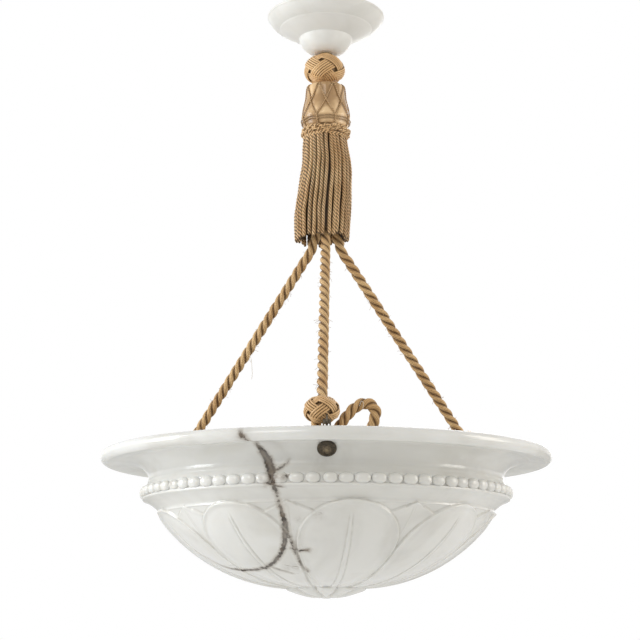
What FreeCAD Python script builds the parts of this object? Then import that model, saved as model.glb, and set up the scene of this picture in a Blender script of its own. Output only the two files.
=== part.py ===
"""Alabaster bowl pendant hung on three ropes below a stone canopy and a tassel.

Frame: millimetres, +Z up, origin at the centre of the ceiling plate's top face.
The lamp hangs down the -Z axis. The front of the lamp looks along -Y, its right is +X.
Outlines of turned pieces are written as (radius, height) points.
"""
import FreeCAD, Part
import os
from math import atan2, cos, degrees, hypot, pi, radians, sin, sqrt, tan

V = FreeCAD.Vector

# ------------------------------------------------------------------ driving sizes
# Clearances
SOFT_GAP = 0.3          # between a soft piece and its neighbour
RUN_GAP = 0.05          # radial, running fit of a turning or threaded piece
SEAT_GAP = 0.05         # between a link and the wire that it hangs on
HOLE_GAP = 0.4          # radial, a bolt in the stone

# Ceiling plate and hook
PLATE_R = 27.0
PLATE_T = 3.0
PLATE_BOSS_R = 8.0
PLATE_BOSS_T = 3.2
SCREW_SPACING = 38.0
SCREW_HOLE_R = 2.25
HOOK_WIRE_R = 2.5
HOOK_R = 8.0            # centreline of the hook's bend
HOOK_SWEEP = 250.0      # degrees of bend
HOOK_BOSS_GAP = 0.3
HOOK_THREAD_TIP = 0.5   # plate metal left above the blind thread's floor, from the plate's lower face

# Link and eye
LINK_WIRE_R = 2.0
LINK_R = 8.0
EYE_R = 6.5
EYE_BOSS_R = 8.0
EYE_BOSS_H = 5.0
EYE_THREAD = 3.0        # depth of the stem's thread in the eye
WASHER_R = 11.0
WASHER_T = 0.8

# Stem, a threaded tube
STEM_R = 5.0
STEM_BORE_R = 3.5
NUT_R = 8.0             # across the corners, half
NUT_H = 5.0
STEM_HOLE_GAP = 0.3     # radial, the stem in the pieces threaded on it
STEM_TIP = 1.0          # of the stem below its last nut
NUT_ROOM = 1.0          # radial, round the nuts

# Canopy, outside radii and its drops below the ceiling plate's top face
CANOPY_GAP = 6.5        # from the ceiling to the canopy's rim
CANOPY_RIM_R = 74.6
CANOPY_RIM_T = 3.6
CANOPY_LINE_R = 57.7    # the ring line turned in the saucer
CANOPY_LINE_DROP = 18.5
CANOPY_NECK_R = 34.0    # top of the dome
CANOPY_NECK_DROP = 30.0
CANOPY_FOOT_R = 14.0
CANOPY_WALL = 6.0
CANOPY_STEP = 1.2       # of the rim's edge and of the two turned lines
CANOPY_SAUCER = (9.5, 6.5)     # middle of the saucer's curve, out and up from the ring line
CANOPY_COLLAR = (11.0, 4.2)    # middle of the collar's curve, out and up from the neck
CANOPY_NECK_T = 0.6
CANOPY_DOME = (5.8, 0.62)      # middle of the dome: in from the neck, share of its height
CANOPY_LEDGE = 1.5      # room round the washer

# Top knot
TOP_KNOT_R = 27.5
TOP_KNOT_H = 39.4
TOP_KNOT_END_R = 12.0

# Tassel head, a turned wood mould
HEAD_TOP_R = 18.0
HEAD_SHOULDER_R = 25.0
HEAD_SHOULDER_DROP = 7.0
HEAD_WAIST_R = 25.4
HEAD_WAIST_DROP = 21.0
HEAD_BELLY_R = 31.2
HEAD_BELLY_DROP = 47.0
HEAD_FOOT_R = 27.0
HEAD_H = 60.0
SPIGOT_R = 21.0
SPIGOT_H = 14.0

# Winding round the skirt's neck
WIND_WIRE_R = 2.1
WIND_PITCH = 4.9
WIND_TURNS = 2

# Tassel skirt
SKIRT_CORDS = 32
SKIRT_NECK_WALL = 3.4
SKIRT_WALL = 4.3
SKIRT_GROOVE = 1.5
# one entry per level: (drop below the neck's top, shift to the right, outer radius)
SKIRT_LEVELS = [(14.0, 0.0, 25.0), (24.0, 0.8, 28.4), (49.5, 3.5, 32.2), (87.5, 1.0, 35.3),
                (109.5, -1.8, 36.2), (146.0, -3.8, 33.4)]

# Swivel cap and rope block inside the skirt
HUB_DROP = 246.0        # top of the cap below the ceiling
HUB_R = 20.5
CAP_PLATE = 6.0
CAP_CAVITY = 8.0
CAP_WALL = 4.0
CAP_CHAMFER = 3.0
BLOCK_H = 18.0
SOCKET_DEPTH = 12.0
ROPE_CIRCLE_R = 11.5    # the ropes' centres in the block
BLOCK_LIP = 3.0         # how far the block screws up into the cap

# Ropes and their lower knots
ROPE_R = 6.25
ROPE_BEND_DROP = 22.2   # from the block's face to the corner of the rope's route
KNOT_R = 21.5
KNOT_H = 34.0
KNOT_END_R = 7.0
KNOT_IN = 14.0          # centre nearer to the lamp's axis than the rim bolts
KNOT_SIDE = -5.5        # the knots sit beside their hangers
KNOT_RISE = 34.0        # centre above the bowl's widest circle
ROPE_END = 6.0          # rope's end short of the knot's centre

# Rope tail
TAIL_R = 6.0

# Bowl, heights from its widest circle
RIM_DROP = 579.0        # widest circle below the ceiling
RIM_R = 272.0
LIP_UP = 8.5
LIP_DOWN = 6.2
LIP_CREST = 0.5         # height of the lip's roundest point
LIP_W = 16.0            # from the widest circle in to the lip's inner edge
LIP_ROLL = 7.5          # and in to its lower arris
LIP_FLAT = 6.0          # flat ring on top of the lip
LIP_UNDER = [(10.0, 4.0), (20.0, 3.4)]     # middle and end of the lip's hollow: in from the arris, drop
LIP_DISH = (24.0, 1.3)  # edge of the shallow dish inside the lip: in from it, drop
NECK_IN = 58.0          # from the widest circle in to the neck
NECK_DROP = 21.0
COVE_MID = (8.6, 9.2)   # middle of the cove above the neck: out from the neck, drop
NECK_FOOT = (0.9, 7.0)  # middle of the neck's lower sweep: out, down from the neck
BEAD_OUT = 5.8          # bead's centre out from the neck
BEAD_DROP = 41.0
BEAD_R = 5.2
BEAD_QUIRK = (1.5, 1.3)     # groove above the beads: in and up
FILLET_OUT = 1.2        # fillet out from the bead's centre
FILLET_GAP = 0.4        # below the beads
FILLET_DROP = 49.0
FILLET_EDGE = (2.5, 1.0)
GROUND_IN = 11.5        # foot of the small cove below the beads, in from the neck
GROUND_DROP = 62.0
GROUND_COVE = (5.0, 1.0)    # middle of that cove: out, down
GROUND_STEP = (0.6, 3.5)    # the first step of the body below it: out, down
BELLY_IN = 52.5         # a point of the body's curve, in from the foot of that cove
BELLY_DROP = 117.0
ROSETTE_R = 48.0
ROSETTE_DROP = 151.5
ROSETTE_H = 11.0
ROSETTE_TIP_R = 9.0
ROSETTE_STEP = 2.0
ROSETTE_MID = (0.65, 0.68)  # middle of its curve, shares of its radius and height
WALL = 13.0
FLOOR_DISH = (3.0, 1.0) # thinning of the floor in its middle and at the rosette's edge
WALL_IN = [11.5, 13.5, 10.5]    # inner face in from the ground, and from the neck at the beads and above
NECK_RISE = 3.0         # of the inner face's last corner above the neck
SEAT_BULGE = 0.4        # stone left proud of the inner seats, before they are cut

# Rim bolts
BOLT_COUNT = 3
BOLT_R = 3.0
BOLT_AXIS_OUT = 4.0     # a point of the bolt's axis: out from the neck, and drop
BOLT_AXIS_DROP = 4.5
BOLT_TILT = 45.0        # degrees below the horizontal, outwards
BOLT_OUT = 7.0          # from that point to the seat outside
BOLT_IN = 6.5           # and to the seat inside
BOLT_HEAD_R = 10.5
BOLT_HEAD_T = 3.0
BOLT_DOME = 1.2
BOLT_FLAT_R = 1.5       # the flat in the middle of the head
BOLT_TIP = 2.0
PAD_R = 10.9
PAD_T = 0.8
INNER_SEAT_R = 11.0
SEAT_CUT = 12.0         # how far the seats' cutters reach out of the stone
RIM_NUT_R = 5.8
RIM_NUT_T = 5.0
RIM_WASHER_R = 7.0
RIM_WASHER_T = 1.0

# Hangers and their rings
HANGER_W = 9.0
HANGER_T = 3.0
HANGER_FOOT = 9.0       # half the foot's length
HANGER_TOP = 22.0       # top edge above the widest circle
HANGER_HOLE_R = 3.0
RING_WIRE_R = 1.25
RING_R = 6.5
RING_DROP = 1.0         # the ring's centre below the hanger's top edge
RING_LIGAMENT = 3.8     # hanger metal between the hole and its top edge

# Light cluster
SPIDER_T = 2.0
SPIDER_W = 12.0
SPIDER_FOOT = 6.0       # half the length of the bolted end
SPIDER_SLOPE = 26.0     # from the bolt down to the arm's bend
SPIDER_HUB_R = 30.0
CUP_R = 18.0
CUP_H = 18.0
CUP_EDGE = 3.0          # radius of its top edge
HOLDER_CIRCLE_R = 80.0
HOLDER_STUD_R = 5.0
HOLDER_STUD_H = 8.0
HOLDER_NUT_R = 8.5
HOLDER_NUT_H = 3.5
HOLDER_CAP_R = 14.0
HOLDER_R = 19.5
HOLDER_H = 46.0
HOLDER_BORE_R = 13.8
HOLDER_BORE_H = 30.0
HOLDER_SHOULDER = [(1.2, 3.5), (0.0, 10.0)]     # its middle and foot: in from the shell, down from the top
BULB_CAP_R = 13.3
BULB_CAP_H = 26.0
BULB_R = 22.5
BULB_NECK_H = 8.0
BULB_NECK_IN = 0.8
BULB_TIP = 5.0          # taper of the cap's end

# ------------------------------------------------------------------ derived places
RIM_Z = -RIM_DROP
LIP_IN_R = RIM_R - LIP_W
LIP_EDGE_R = RIM_R - LIP_ROLL
NECK_R = RIM_R - NECK_IN
BEAD_CENTRE_R = NECK_R + BEAD_OUT
FILLET_R = BEAD_CENTRE_R + FILLET_OUT
GROUND_R = NECK_R - GROUND_IN
BELLY_R = GROUND_R - BELLY_IN
BOLT_AXIS_R = NECK_R + BOLT_AXIS_OUT
KNOT_CIRCLE_R = BOLT_AXIS_R - KNOT_IN
BOLT_AZIMUTHS = [-90.0 + 360.0 / BOLT_COUNT * i for i in range(BOLT_COUNT)]
SIDES = ["front", "right", "left"]

HOOK_TOP_Z = -(PLATE_T + PLATE_BOSS_T + HOOK_BOSS_GAP + HOOK_WIRE_R)
HOOK_CENTRE_Z = HOOK_TOP_Z - HOOK_R
HOOK_SEAT_Z = HOOK_CENTRE_Z - HOOK_R                      # pivot of the link
LINK_TOP_Z = HOOK_SEAT_Z + HOOK_WIRE_R + LINK_WIRE_R + SEAT_GAP
LINK_SEAT_Z = LINK_TOP_Z - 2 * LINK_R                     # pivot of the lamp
EYE_TOP_Z = LINK_SEAT_Z + 2 * LINK_WIRE_R + SEAT_GAP
EYE_CENTRE_Z = EYE_TOP_Z - EYE_R
EYE_BOSS_TOP_Z = EYE_CENTRE_Z - EYE_R
EYE_FOOT_Z = EYE_BOSS_TOP_Z - EYE_BOSS_H
STEM_TOP_Z = EYE_FOOT_Z + EYE_THREAD
CANOPY_FLOOR_Z = EYE_FOOT_Z - WASHER_T
CANOPY_FOOT_Z = CANOPY_FLOOR_Z - CANOPY_WALL
CANOPY_RIM_Z = -CANOPY_GAP
TOP_KNOT_Z = CANOPY_FOOT_Z - SOFT_GAP
HEAD_Z = TOP_KNOT_Z - TOP_KNOT_H - SOFT_GAP
HEAD_FOOT_Z = HEAD_Z - HEAD_H
SPIGOT_FOOT_Z = HEAD_FOOT_Z - SPIGOT_H
SKIRT_TOP_Z = HEAD_FOOT_Z - SOFT_GAP
SKIRT_NECK_IN_R = SPIGOT_R + SOFT_GAP
SKIRT_NECK_OUT_R = SKIRT_NECK_IN_R + SKIRT_NECK_WALL
WIND_R = SKIRT_NECK_OUT_R + SOFT_GAP + WIND_WIRE_R

HUB_Z = -HUB_DROP
CAVITY_Z = HUB_Z - CAP_PLATE
BLOCK_Z = CAVITY_Z - CAP_CAVITY
BLOCK_FACE_Z = BLOCK_Z - BLOCK_H
ROPE_TOP_Z = BLOCK_FACE_Z + SOCKET_DEPTH
STEM_FOOT_Z = CAVITY_Z - NUT_H - STEM_TIP
ROPE_BEND = V(ROPE_CIRCLE_R, 0, BLOCK_FACE_Z - ROPE_BEND_DROP)
KNOT_TURN = degrees(atan2(KNOT_SIDE, KNOT_CIRCLE_R))      # ropes lie this far round from the bolts
KNOT_CENTRE = V(hypot(KNOT_CIRCLE_R, KNOT_SIDE), 0, RIM_Z + KNOT_RISE)

BOLT_DIR = V(cos(radians(BOLT_TILT)), 0, -sin(radians(BOLT_TILT)))
BELLY_INWARD = V(-0.72, 0, 0.70)                          # square to the body's curve at the belly
SLOPE_DIR = V(sin(radians(BOLT_TILT)), 0, cos(radians(BOLT_TILT)))
BOLT_MID = V(BOLT_AXIS_R, 0, RIM_Z - BOLT_AXIS_DROP)
SEAT_OUT = BOLT_MID + BOLT_DIR * BOLT_OUT
SEAT_IN = BOLT_MID - BOLT_DIR * BOLT_IN
SPIDER_SEAT = SEAT_IN - BOLT_DIR * HANGER_T
WASHER_SEAT = SPIDER_SEAT - BOLT_DIR * SPIDER_T
NUT_SEAT = WASHER_SEAT - BOLT_DIR * RIM_WASHER_T
ARM_BEND = SPIDER_SEAT - SLOPE_DIR * SPIDER_SLOPE
HUB_PLATE_Z = ARM_BEND.z                                  # spider's lower face
CUP_Z = HUB_PLATE_Z + SPIDER_T
HANGER_FOOT_END = SEAT_IN + SLOPE_DIR * HANGER_FOOT
RING_CENTRE = V(HANGER_FOOT_END.x - HANGER_T, 0, RIM_Z + HANGER_TOP - RING_DROP)
HANGER_HOLE_Z = RIM_Z + HANGER_TOP - RING_LIGAMENT - HANGER_HOLE_R

# The tail's route, chosen by hand: right of the axis, behind it, above the widest circle
TAIL_ROUTE = [(-12, -200, 20), (-12, -198, 9), (-6.5, -194.5, 0.5), (4.5, -192.5, -1), (14, -191, 5),
              (18.5, -190, 18.5), (34, -187, 39.5), (44.5, -184, 42.5), (53.2, -180, 36.5), (54.5, -175, 18),
              (50, -162, -1), (41, -134, -7), (29, -90, -7), (19, -54, -5), (11.3, -30, -5),
              (5.5, -14.7, -5)]
TAIL = [V(x, y, RIM_Z + h) for x, y, h in TAIL_ROUTE]


# ------------------------------------------------------------------ helpers
def export(shape, node):
    """Write one node and say what it holds."""
    if not shape.isValid():
        print("INVALID", node)
    shape.exportStep("parts/%s.step" % node)
    print("%-16s solids %2d volume %10.1f" % (node, len(shape.Solids), shape.Volume))


def turned(*pieces):
    """Solid of revolution about Z. Each piece is a point or (mid, end) of an arc, as (r, z)."""
    def at(p):
        return V(p[0], 0, p[1])
    edges = []
    start = here = at(pieces[0])
    for piece in pieces[1:]:
        if isinstance(piece[0], tuple):
            end = at(piece[1])
            edges.append(Part.Arc(here, at(piece[0]), end).toShape())
        else:
            end = at(piece)
            edges.append(Part.LineSegment(here, end).toShape())
        here = end
    if here.distanceToPoint(start) > 1e-6:
        edges.append(Part.LineSegment(here, start).toShape())
    return Part.Face(Part.Wire(edges)).revolve(V(0, 0, 0), V(0, 0, 1), 360)


def rod(radius, start, end):
    """Cylinder from one point to another."""
    return Part.makeCylinder(radius, (end - start).Length, start, end - start)


def around(shape, angle):
    """A copy turned about the lamp's axis, in degrees."""
    copy = shape.copy()
    copy.rotate(V(0, 0, 0), V(0, 0, 1), angle)
    return copy


def ring_of(shape, turn=0.0):
    """One copy at each bolt's azimuth."""
    return Part.makeCompound([around(shape, a + turn) for a in BOLT_AZIMUTHS])


def hexagon(radius, height, start, direction):
    """Hexagonal bar from start along direction; radius is to its corners."""
    points = [V(radius * cos(pi / 3 * i), radius * sin(pi / 3 * i), 0) for i in range(7)]
    bar = Part.Face(Part.makePolygon(points)).extrude(V(0, 0, height))
    bar.Placement = FreeCAD.Placement(start, FreeCAD.Rotation(V(0, 0, 1), direction))
    return bar


def strip(points, thickness, width):
    """Flat bar bent in the radial plane: points run along one face, thickness to its left."""
    lefts = []
    for i, p in enumerate(points):
        a = points[max(i - 1, 0)]
        b = points[min(i + 1, len(points) - 1)]
        ahead = (p - a).normalize() if i else (b - p).normalize()
        after = (b - p).normalize() if i < len(points) - 1 else ahead
        na = V(-ahead.z, 0, ahead.x)
        nb = V(-after.z, 0, after.x)
        mid = (na + nb).normalize()
        lefts.append(p + mid * (thickness / mid.dot(na)))
    outline = points + lefts[::-1] + [points[0]]
    face = Part.Face(Part.makePolygon(outline))
    face.translate(V(0, -width / 2, 0))
    return face.extrude(V(0, width, 0))


def rounded_path(points, name):
    """Straight runs joined by tangent arcs, each as large as its two runs allow."""
    edges = []
    here = points[0]
    radii = []
    for a, b, c in zip(points, points[1:], points[2:]):
        back = (a - b).normalize()
        on = (c - b).normalize()
        turn = pi - back.getAngle(on)
        shorter = min((a - b).Length, (c - b).Length)
        reach = 0.45 * shorter
        radius = reach / tan(turn / 2)
        centre = b + (back + on).normalize() * (radius / cos(turn / 2))
        mid = centre + (b - centre).normalize() * radius
        edges.append(Part.LineSegment(here, b + back * reach).toShape())
        edges.append(Part.Arc(b + back * reach, mid, b + on * reach).toShape())
        here = b + on * reach
        radii.append(round(radius, 1))
    edges.append(Part.LineSegment(here, points[-1]).toShape())
    wire = Part.Wire(edges)
    print(name, "length %.1f, arc radii" % wire.Length, radii)
    return wire


def tube(wire, radius, start, direction):
    """Round tube swept along a wire, checked by its volume."""
    circle = Part.Wire(Part.Circle(start, direction, radius).toShape())
    solid = wire.makePipeShell([circle], True, False)
    ratio = solid.Volume / (pi * radius ** 2 * wire.Length)
    print("    volume over section times length %.4f" % ratio)
    return solid


def biarc(p0, t0, p1, t1):
    """Two arcs from p0 to p1, tangent to t0, to t1 and to each other."""
    v = p1 - p0
    a = 2 * (1 - t0.dot(t1))
    b = 2 * v.dot(t0 + t1)
    reach = (-b + sqrt(b * b + 4 * a * v.dot(v))) / (2 * a)
    joint = (p0 + t0 * reach + p1 - t1 * reach) * 0.5
    return [Part.Arc(p0, arc_middle(p0, joint, t0), joint).toShape(),
            Part.Arc(joint, arc_middle(p1, joint, t1 * -1), p1).toShape()]


def arc_middle(p, q, tangent):
    """Middle of the arc from p to q that leaves p along tangent."""
    chord = q - p
    half = tangent.getAngle(chord)
    side = (tangent - chord.normalize() * cos(half)).normalize() if half > 1e-9 else V(0, 0, 0)
    return p + chord * ((q - p).Length / 2) + side * ((q - p).Length / 2 * tan(half / 2))


# ------------------------------------------------------------------ ceiling end
def ceiling_plate():
    body = Part.makeCylinder(PLATE_R, PLATE_T, V(0, 0, -PLATE_T))
    body = body.fuse(Part.makeCylinder(PLATE_BOSS_R, PLATE_BOSS_T, V(0, 0, -PLATE_T - PLATE_BOSS_T)))
    for side in (-1, 1):
        body = body.cut(Part.makeCylinder(SCREW_HOLE_R, PLATE_T, V(side * SCREW_SPACING / 2, 0, -PLATE_T)))
    thread = Part.makeCylinder(HOOK_WIRE_R + RUN_GAP, PLATE_BOSS_T + PLATE_T - HOOK_THREAD_TIP,
                               V(0, 0, -PLATE_T - PLATE_BOSS_T))
    return body.cut(thread).removeSplitter()


def ceiling_hook():
    ring = Part.makeTorus(HOOK_R, HOOK_WIRE_R, V(0, 0, 0), V(0, 0, 1), 0, 360, HOOK_SWEEP)
    ring.rotate(V(0, 0, 0), V(0, 0, 1), 90)
    ring.rotate(V(0, 0, 0), V(1, 0, 0), 90)
    ring.translate(V(0, 0, HOOK_CENTRE_Z))
    shank = rod(HOOK_WIRE_R, V(0, 0, HOOK_TOP_Z), V(0, 0, -PLATE_T + HOOK_THREAD_TIP))
    return ring.fuse(shank).fuse(Part.makeSphere(HOOK_WIRE_R, V(0, 0, HOOK_TOP_Z)))


def hook_link():
    return Part.makeTorus(LINK_R, LINK_WIRE_R, V(0, 0, LINK_TOP_Z - LINK_R), V(1, 0, 0))


def stem_eye():
    eye = Part.makeTorus(EYE_R, LINK_WIRE_R, V(0, 0, EYE_CENTRE_Z), V(0, 1, 0))
    boss = Part.makeCylinder(EYE_BOSS_R, EYE_BOSS_H, V(0, 0, EYE_FOOT_Z))
    thread = Part.makeCylinder(STEM_R + RUN_GAP, EYE_THREAD, V(0, 0, EYE_FOOT_Z))
    return eye.fuse(boss).cut(thread)


def stem():
    return turned((STEM_BORE_R, STEM_TOP_Z), (STEM_R, STEM_TOP_Z), (STEM_R, STEM_FOOT_Z),
                  (STEM_BORE_R, STEM_FOOT_Z))


def stem_washer(z):
    """Washer whose top face is at z."""
    return turned((STEM_R + STEM_HOLE_GAP, z), (WASHER_R, z), (WASHER_R, z - WASHER_T),
                  (STEM_R + STEM_HOLE_GAP, z - WASHER_T))


def stem_nut(z):
    """Nut on the stem whose top face is at z."""
    nut = hexagon(NUT_R, NUT_H, V(0, 0, z - NUT_H), V(0, 0, 1))
    return nut.cut(Part.makeCylinder(STEM_R + RUN_GAP, NUT_H, V(0, 0, z - NUT_H)))


def canopy():
    line_z = CANOPY_RIM_Z - CANOPY_LINE_DROP
    neck_z = CANOPY_RIM_Z - CANOPY_NECK_DROP
    rim_in = CANOPY_RIM_R - CANOPY_WALL
    hole = STEM_R + STEM_HOLE_GAP
    dome_in, dome_share = CANOPY_DOME
    dome_mid = neck_z - dome_share * (neck_z - CANOPY_FOOT_Z)
    saucer_out, saucer_up = CANOPY_SAUCER
    collar_out, collar_up = CANOPY_COLLAR
    thin = CANOPY_WALL - 1.0
    outside = turned(
        (0, CANOPY_RIM_Z), (CANOPY_RIM_R - CANOPY_STEP, CANOPY_RIM_Z),
        ((CANOPY_RIM_R, CANOPY_RIM_Z - CANOPY_RIM_T / 2),
         (CANOPY_RIM_R - CANOPY_STEP, CANOPY_RIM_Z - CANOPY_RIM_T)),
        ((CANOPY_LINE_R + saucer_out, line_z + saucer_up),
         (CANOPY_LINE_R + CANOPY_STEP, line_z + CANOPY_STEP)),
        (CANOPY_LINE_R, line_z),
        ((CANOPY_NECK_R + collar_out, neck_z + collar_up), (CANOPY_NECK_R + CANOPY_STEP, neck_z)),
        (CANOPY_NECK_R, neck_z - CANOPY_NECK_T),
        ((CANOPY_NECK_R - dome_in, dome_mid), (CANOPY_FOOT_R, CANOPY_FOOT_Z)),
        (0, CANOPY_FOOT_Z))
    inside = turned(
        (0, CANOPY_RIM_Z), (rim_in, CANOPY_RIM_Z), (rim_in, CANOPY_RIM_Z - CANOPY_RIM_T),
        (CANOPY_LINE_R - thin, line_z + thin), (CANOPY_NECK_R - CANOPY_WALL, neck_z + thin),
        ((CANOPY_NECK_R - CANOPY_WALL - 5.0, dome_mid + 2.0), (WASHER_R + CANOPY_LEDGE, CANOPY_FLOOR_Z)),
        (0, CANOPY_FLOOR_Z))
    bore = Part.makeCylinder(hole, CANOPY_WALL, V(0, 0, CANOPY_FOOT_Z))
    return outside.cut(inside).cut(bore)


# ------------------------------------------------------------------ tassel
def top_knot():
    top = TOP_KNOT_Z
    foot = top - TOP_KNOT_H
    ball = turned((0, top), (TOP_KNOT_END_R, top), ((TOP_KNOT_R, (top + foot) / 2), (TOP_KNOT_END_R, foot)),
                  (0, foot))
    bore = Part.makeCylinder(STEM_R + STEM_HOLE_GAP, TOP_KNOT_H, V(0, 0, foot))
    nut_room = Part.makeCylinder(NUT_R + SOFT_GAP, NUT_H, V(0, 0, top - NUT_H))
    return ball.cut(bore).cut(nut_room)


def tassel_head():
    z = HEAD_Z
    bore = STEM_R + STEM_HOLE_GAP
    return turned(
        (bore, z), (HEAD_TOP_R, z),
        ((HEAD_SHOULDER_R - 1.6, z - 0.35 * HEAD_SHOULDER_DROP), (HEAD_SHOULDER_R, z - HEAD_SHOULDER_DROP)),
        (HEAD_WAIST_R, z - HEAD_WAIST_DROP), (HEAD_BELLY_R, z - HEAD_BELLY_DROP),
        ((HEAD_BELLY_R - 1.0, z - (HEAD_BELLY_DROP + HEAD_H) / 2), (HEAD_FOOT_R, HEAD_FOOT_Z)),
        (SPIGOT_R, HEAD_FOOT_Z), (SPIGOT_R, SPIGOT_FOOT_Z), (bore, SPIGOT_FOOT_Z))


def tassel_winding():
    """Two turns of cord round the skirt's neck, one unbroken tube from biarcs of a quarter turn."""
    steps = 4 * WIND_TURNS
    top = SKIRT_TOP_Z - SOFT_GAP - WIND_WIRE_R
    rise = WIND_PITCH / (2 * pi)

    def place(i):
        angle = pi / 2 * i
        point = V(WIND_R * cos(angle), WIND_R * sin(angle), top - rise * angle)
        return point, V(-WIND_R * sin(angle), WIND_R * cos(angle), -rise).normalize()

    edges = []
    for i in range(steps):
        edges += biarc(*place(i), *place(i + 1))
    start, way = place(0)
    end, end_way = place(steps)
    tail = 2 * WIND_WIRE_R
    edges.insert(0, Part.LineSegment(start - way * tail, start).toShape())
    edges.append(Part.LineSegment(end, end + end_way * tail).toShape())
    wire = Part.Wire(edges)
    points = wire.discretize(Distance=1.0)
    per_turn = int(2 * pi * WIND_R)
    least = min((p - q).Length for i, p in enumerate(points) for q in points[i + per_turn // 2:])
    print("tassel_winding length %.1f, least gap to itself %.2f" % (wire.Length, least - 2 * WIND_WIRE_R))
    return tube(wire, WIND_WIRE_R, start - way * tail, way)


def scalloped(z, shift, radius, groove):
    """Closed outline of cord backs at one level: one arc per cord, meeting in grooves."""
    edges = []
    step = 2 * pi / SKIRT_CORDS

    def at(angle, r):
        return V(shift + r * cos(angle), r * sin(angle), z)

    for i in range(SKIRT_CORDS):
        a = i * step
        edges.append(Part.Arc(at(a, radius - groove), at(a + step / 2, radius),
                              at(a + step, radius - groove)).toShape())
    return Part.Wire(edges)


def circle_wire(z, shift, radius):
    return Part.Wire(Part.Circle(V(shift, 0, z), V(0, 0, 1), radius).toShape())


def tassel_skirt():
    """Hollow bundle of cords: a plain neck under the winding, then ribs that lean as they hang."""
    neck_z = SKIRT_TOP_Z - SKIRT_LEVELS[0][0]
    neck_shift = SKIRT_LEVELS[0][1]
    neck = turned((SKIRT_NECK_IN_R, SKIRT_TOP_Z), (SKIRT_NECK_OUT_R, SKIRT_TOP_Z),
                  (SKIRT_NECK_OUT_R, neck_z), (SKIRT_NECK_IN_R, neck_z))
    outer = []
    inner = []
    for drop, shift, radius in SKIRT_LEVELS:
        z = SKIRT_TOP_Z - drop
        outer.append(scalloped(z, shift, radius, SKIRT_GROOVE))
        wall = SKIRT_WALL if drop > SKIRT_LEVELS[0][0] else radius - SKIRT_NECK_IN_R
        inner.append(circle_wire(z, shift, radius - wall))
    ribs = Part.makeLoft(outer, True, True).cut(Part.makeLoft(inner, True, True))
    neck.translate(V(neck_shift, 0, 0))
    return neck.fuse(ribs)


# ------------------------------------------------------------------ swivel and ropes
def hub_cap():
    foot = BLOCK_Z
    bore = STEM_R + RUN_GAP
    inside = HUB_R - CAP_WALL
    return turned((bore, HUB_Z), (HUB_R - CAP_CHAMFER, HUB_Z), (HUB_R, HUB_Z - CAP_CHAMFER), (HUB_R, foot),
                  (inside, foot), (inside, CAVITY_Z), (bore, CAVITY_Z))


def rope_block():
    inside = HUB_R - CAP_WALL - RUN_GAP
    block = turned((0, BLOCK_Z + BLOCK_LIP), (inside, BLOCK_Z + BLOCK_LIP), (inside, BLOCK_Z),
                   (HUB_R, BLOCK_Z), (HUB_R, BLOCK_FACE_Z), (0, BLOCK_FACE_Z))
    stem_room = Part.makeCylinder(NUT_R + NUT_ROOM, BLOCK_LIP, V(0, 0, BLOCK_Z))
    block = block.cut(stem_room)
    socket = Part.makeCylinder(ROPE_R + SOFT_GAP, SOCKET_DEPTH, V(ROPE_CIRCLE_R, 0, BLOCK_FACE_Z))
    for azimuth in BOLT_AZIMUTHS:
        block = block.cut(around(socket, azimuth + KNOT_TURN))
    return block


def rope():
    """One rope in the plane y = 0: straight out of its socket, a bend, then taut to its knot."""
    way = (KNOT_CENTRE - ROPE_BEND).normalize()
    end = KNOT_CENTRE - way * ROPE_END
    top = V(ROPE_CIRCLE_R, 0, ROPE_TOP_Z)
    wire = rounded_path([top, ROPE_BEND, end], "rope")
    return tube(wire, ROPE_R, top, V(0, 0, -1))


def lower_knot():
    """Ball knot at a rope's end, bored for the rope; in the plane y = 0 of its rope."""
    half = KNOT_H / 2
    ball = turned((0, half), (KNOT_END_R, half), ((KNOT_R, 0), (KNOT_END_R, -half)), (0, -half))
    ball.translate(KNOT_CENTRE)
    way = (KNOT_CENTRE - ROPE_BEND).normalize()
    end = KNOT_CENTRE - way * ROPE_END
    return ball.cut(rod(ROPE_R + SOFT_GAP, end, end - way * KNOT_R * 2))


def hanger_room():
    """Room in the knot for the hanger's tab and its ring, in the plane of the bolt."""
    ring = Part.makeTorus(RING_R, RING_WIRE_R + SOFT_GAP, RING_CENTRE, V(0, 1, 0))
    width = HANGER_W + 2 * SOFT_GAP
    tab = Part.makeBox(KNOT_R, width, KNOT_H + SOFT_GAP,
                       V(HANGER_FOOT_END.x - HANGER_T - SOFT_GAP, -width / 2, RIM_Z + HANGER_TOP - KNOT_H))
    return ring.fuse(tab)


def rope_tail():
    wire = rounded_path(TAIL, "rope_tail")
    return tube(wire, TAIL_R, TAIL[0], TAIL[1] - TAIL[0])


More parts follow.
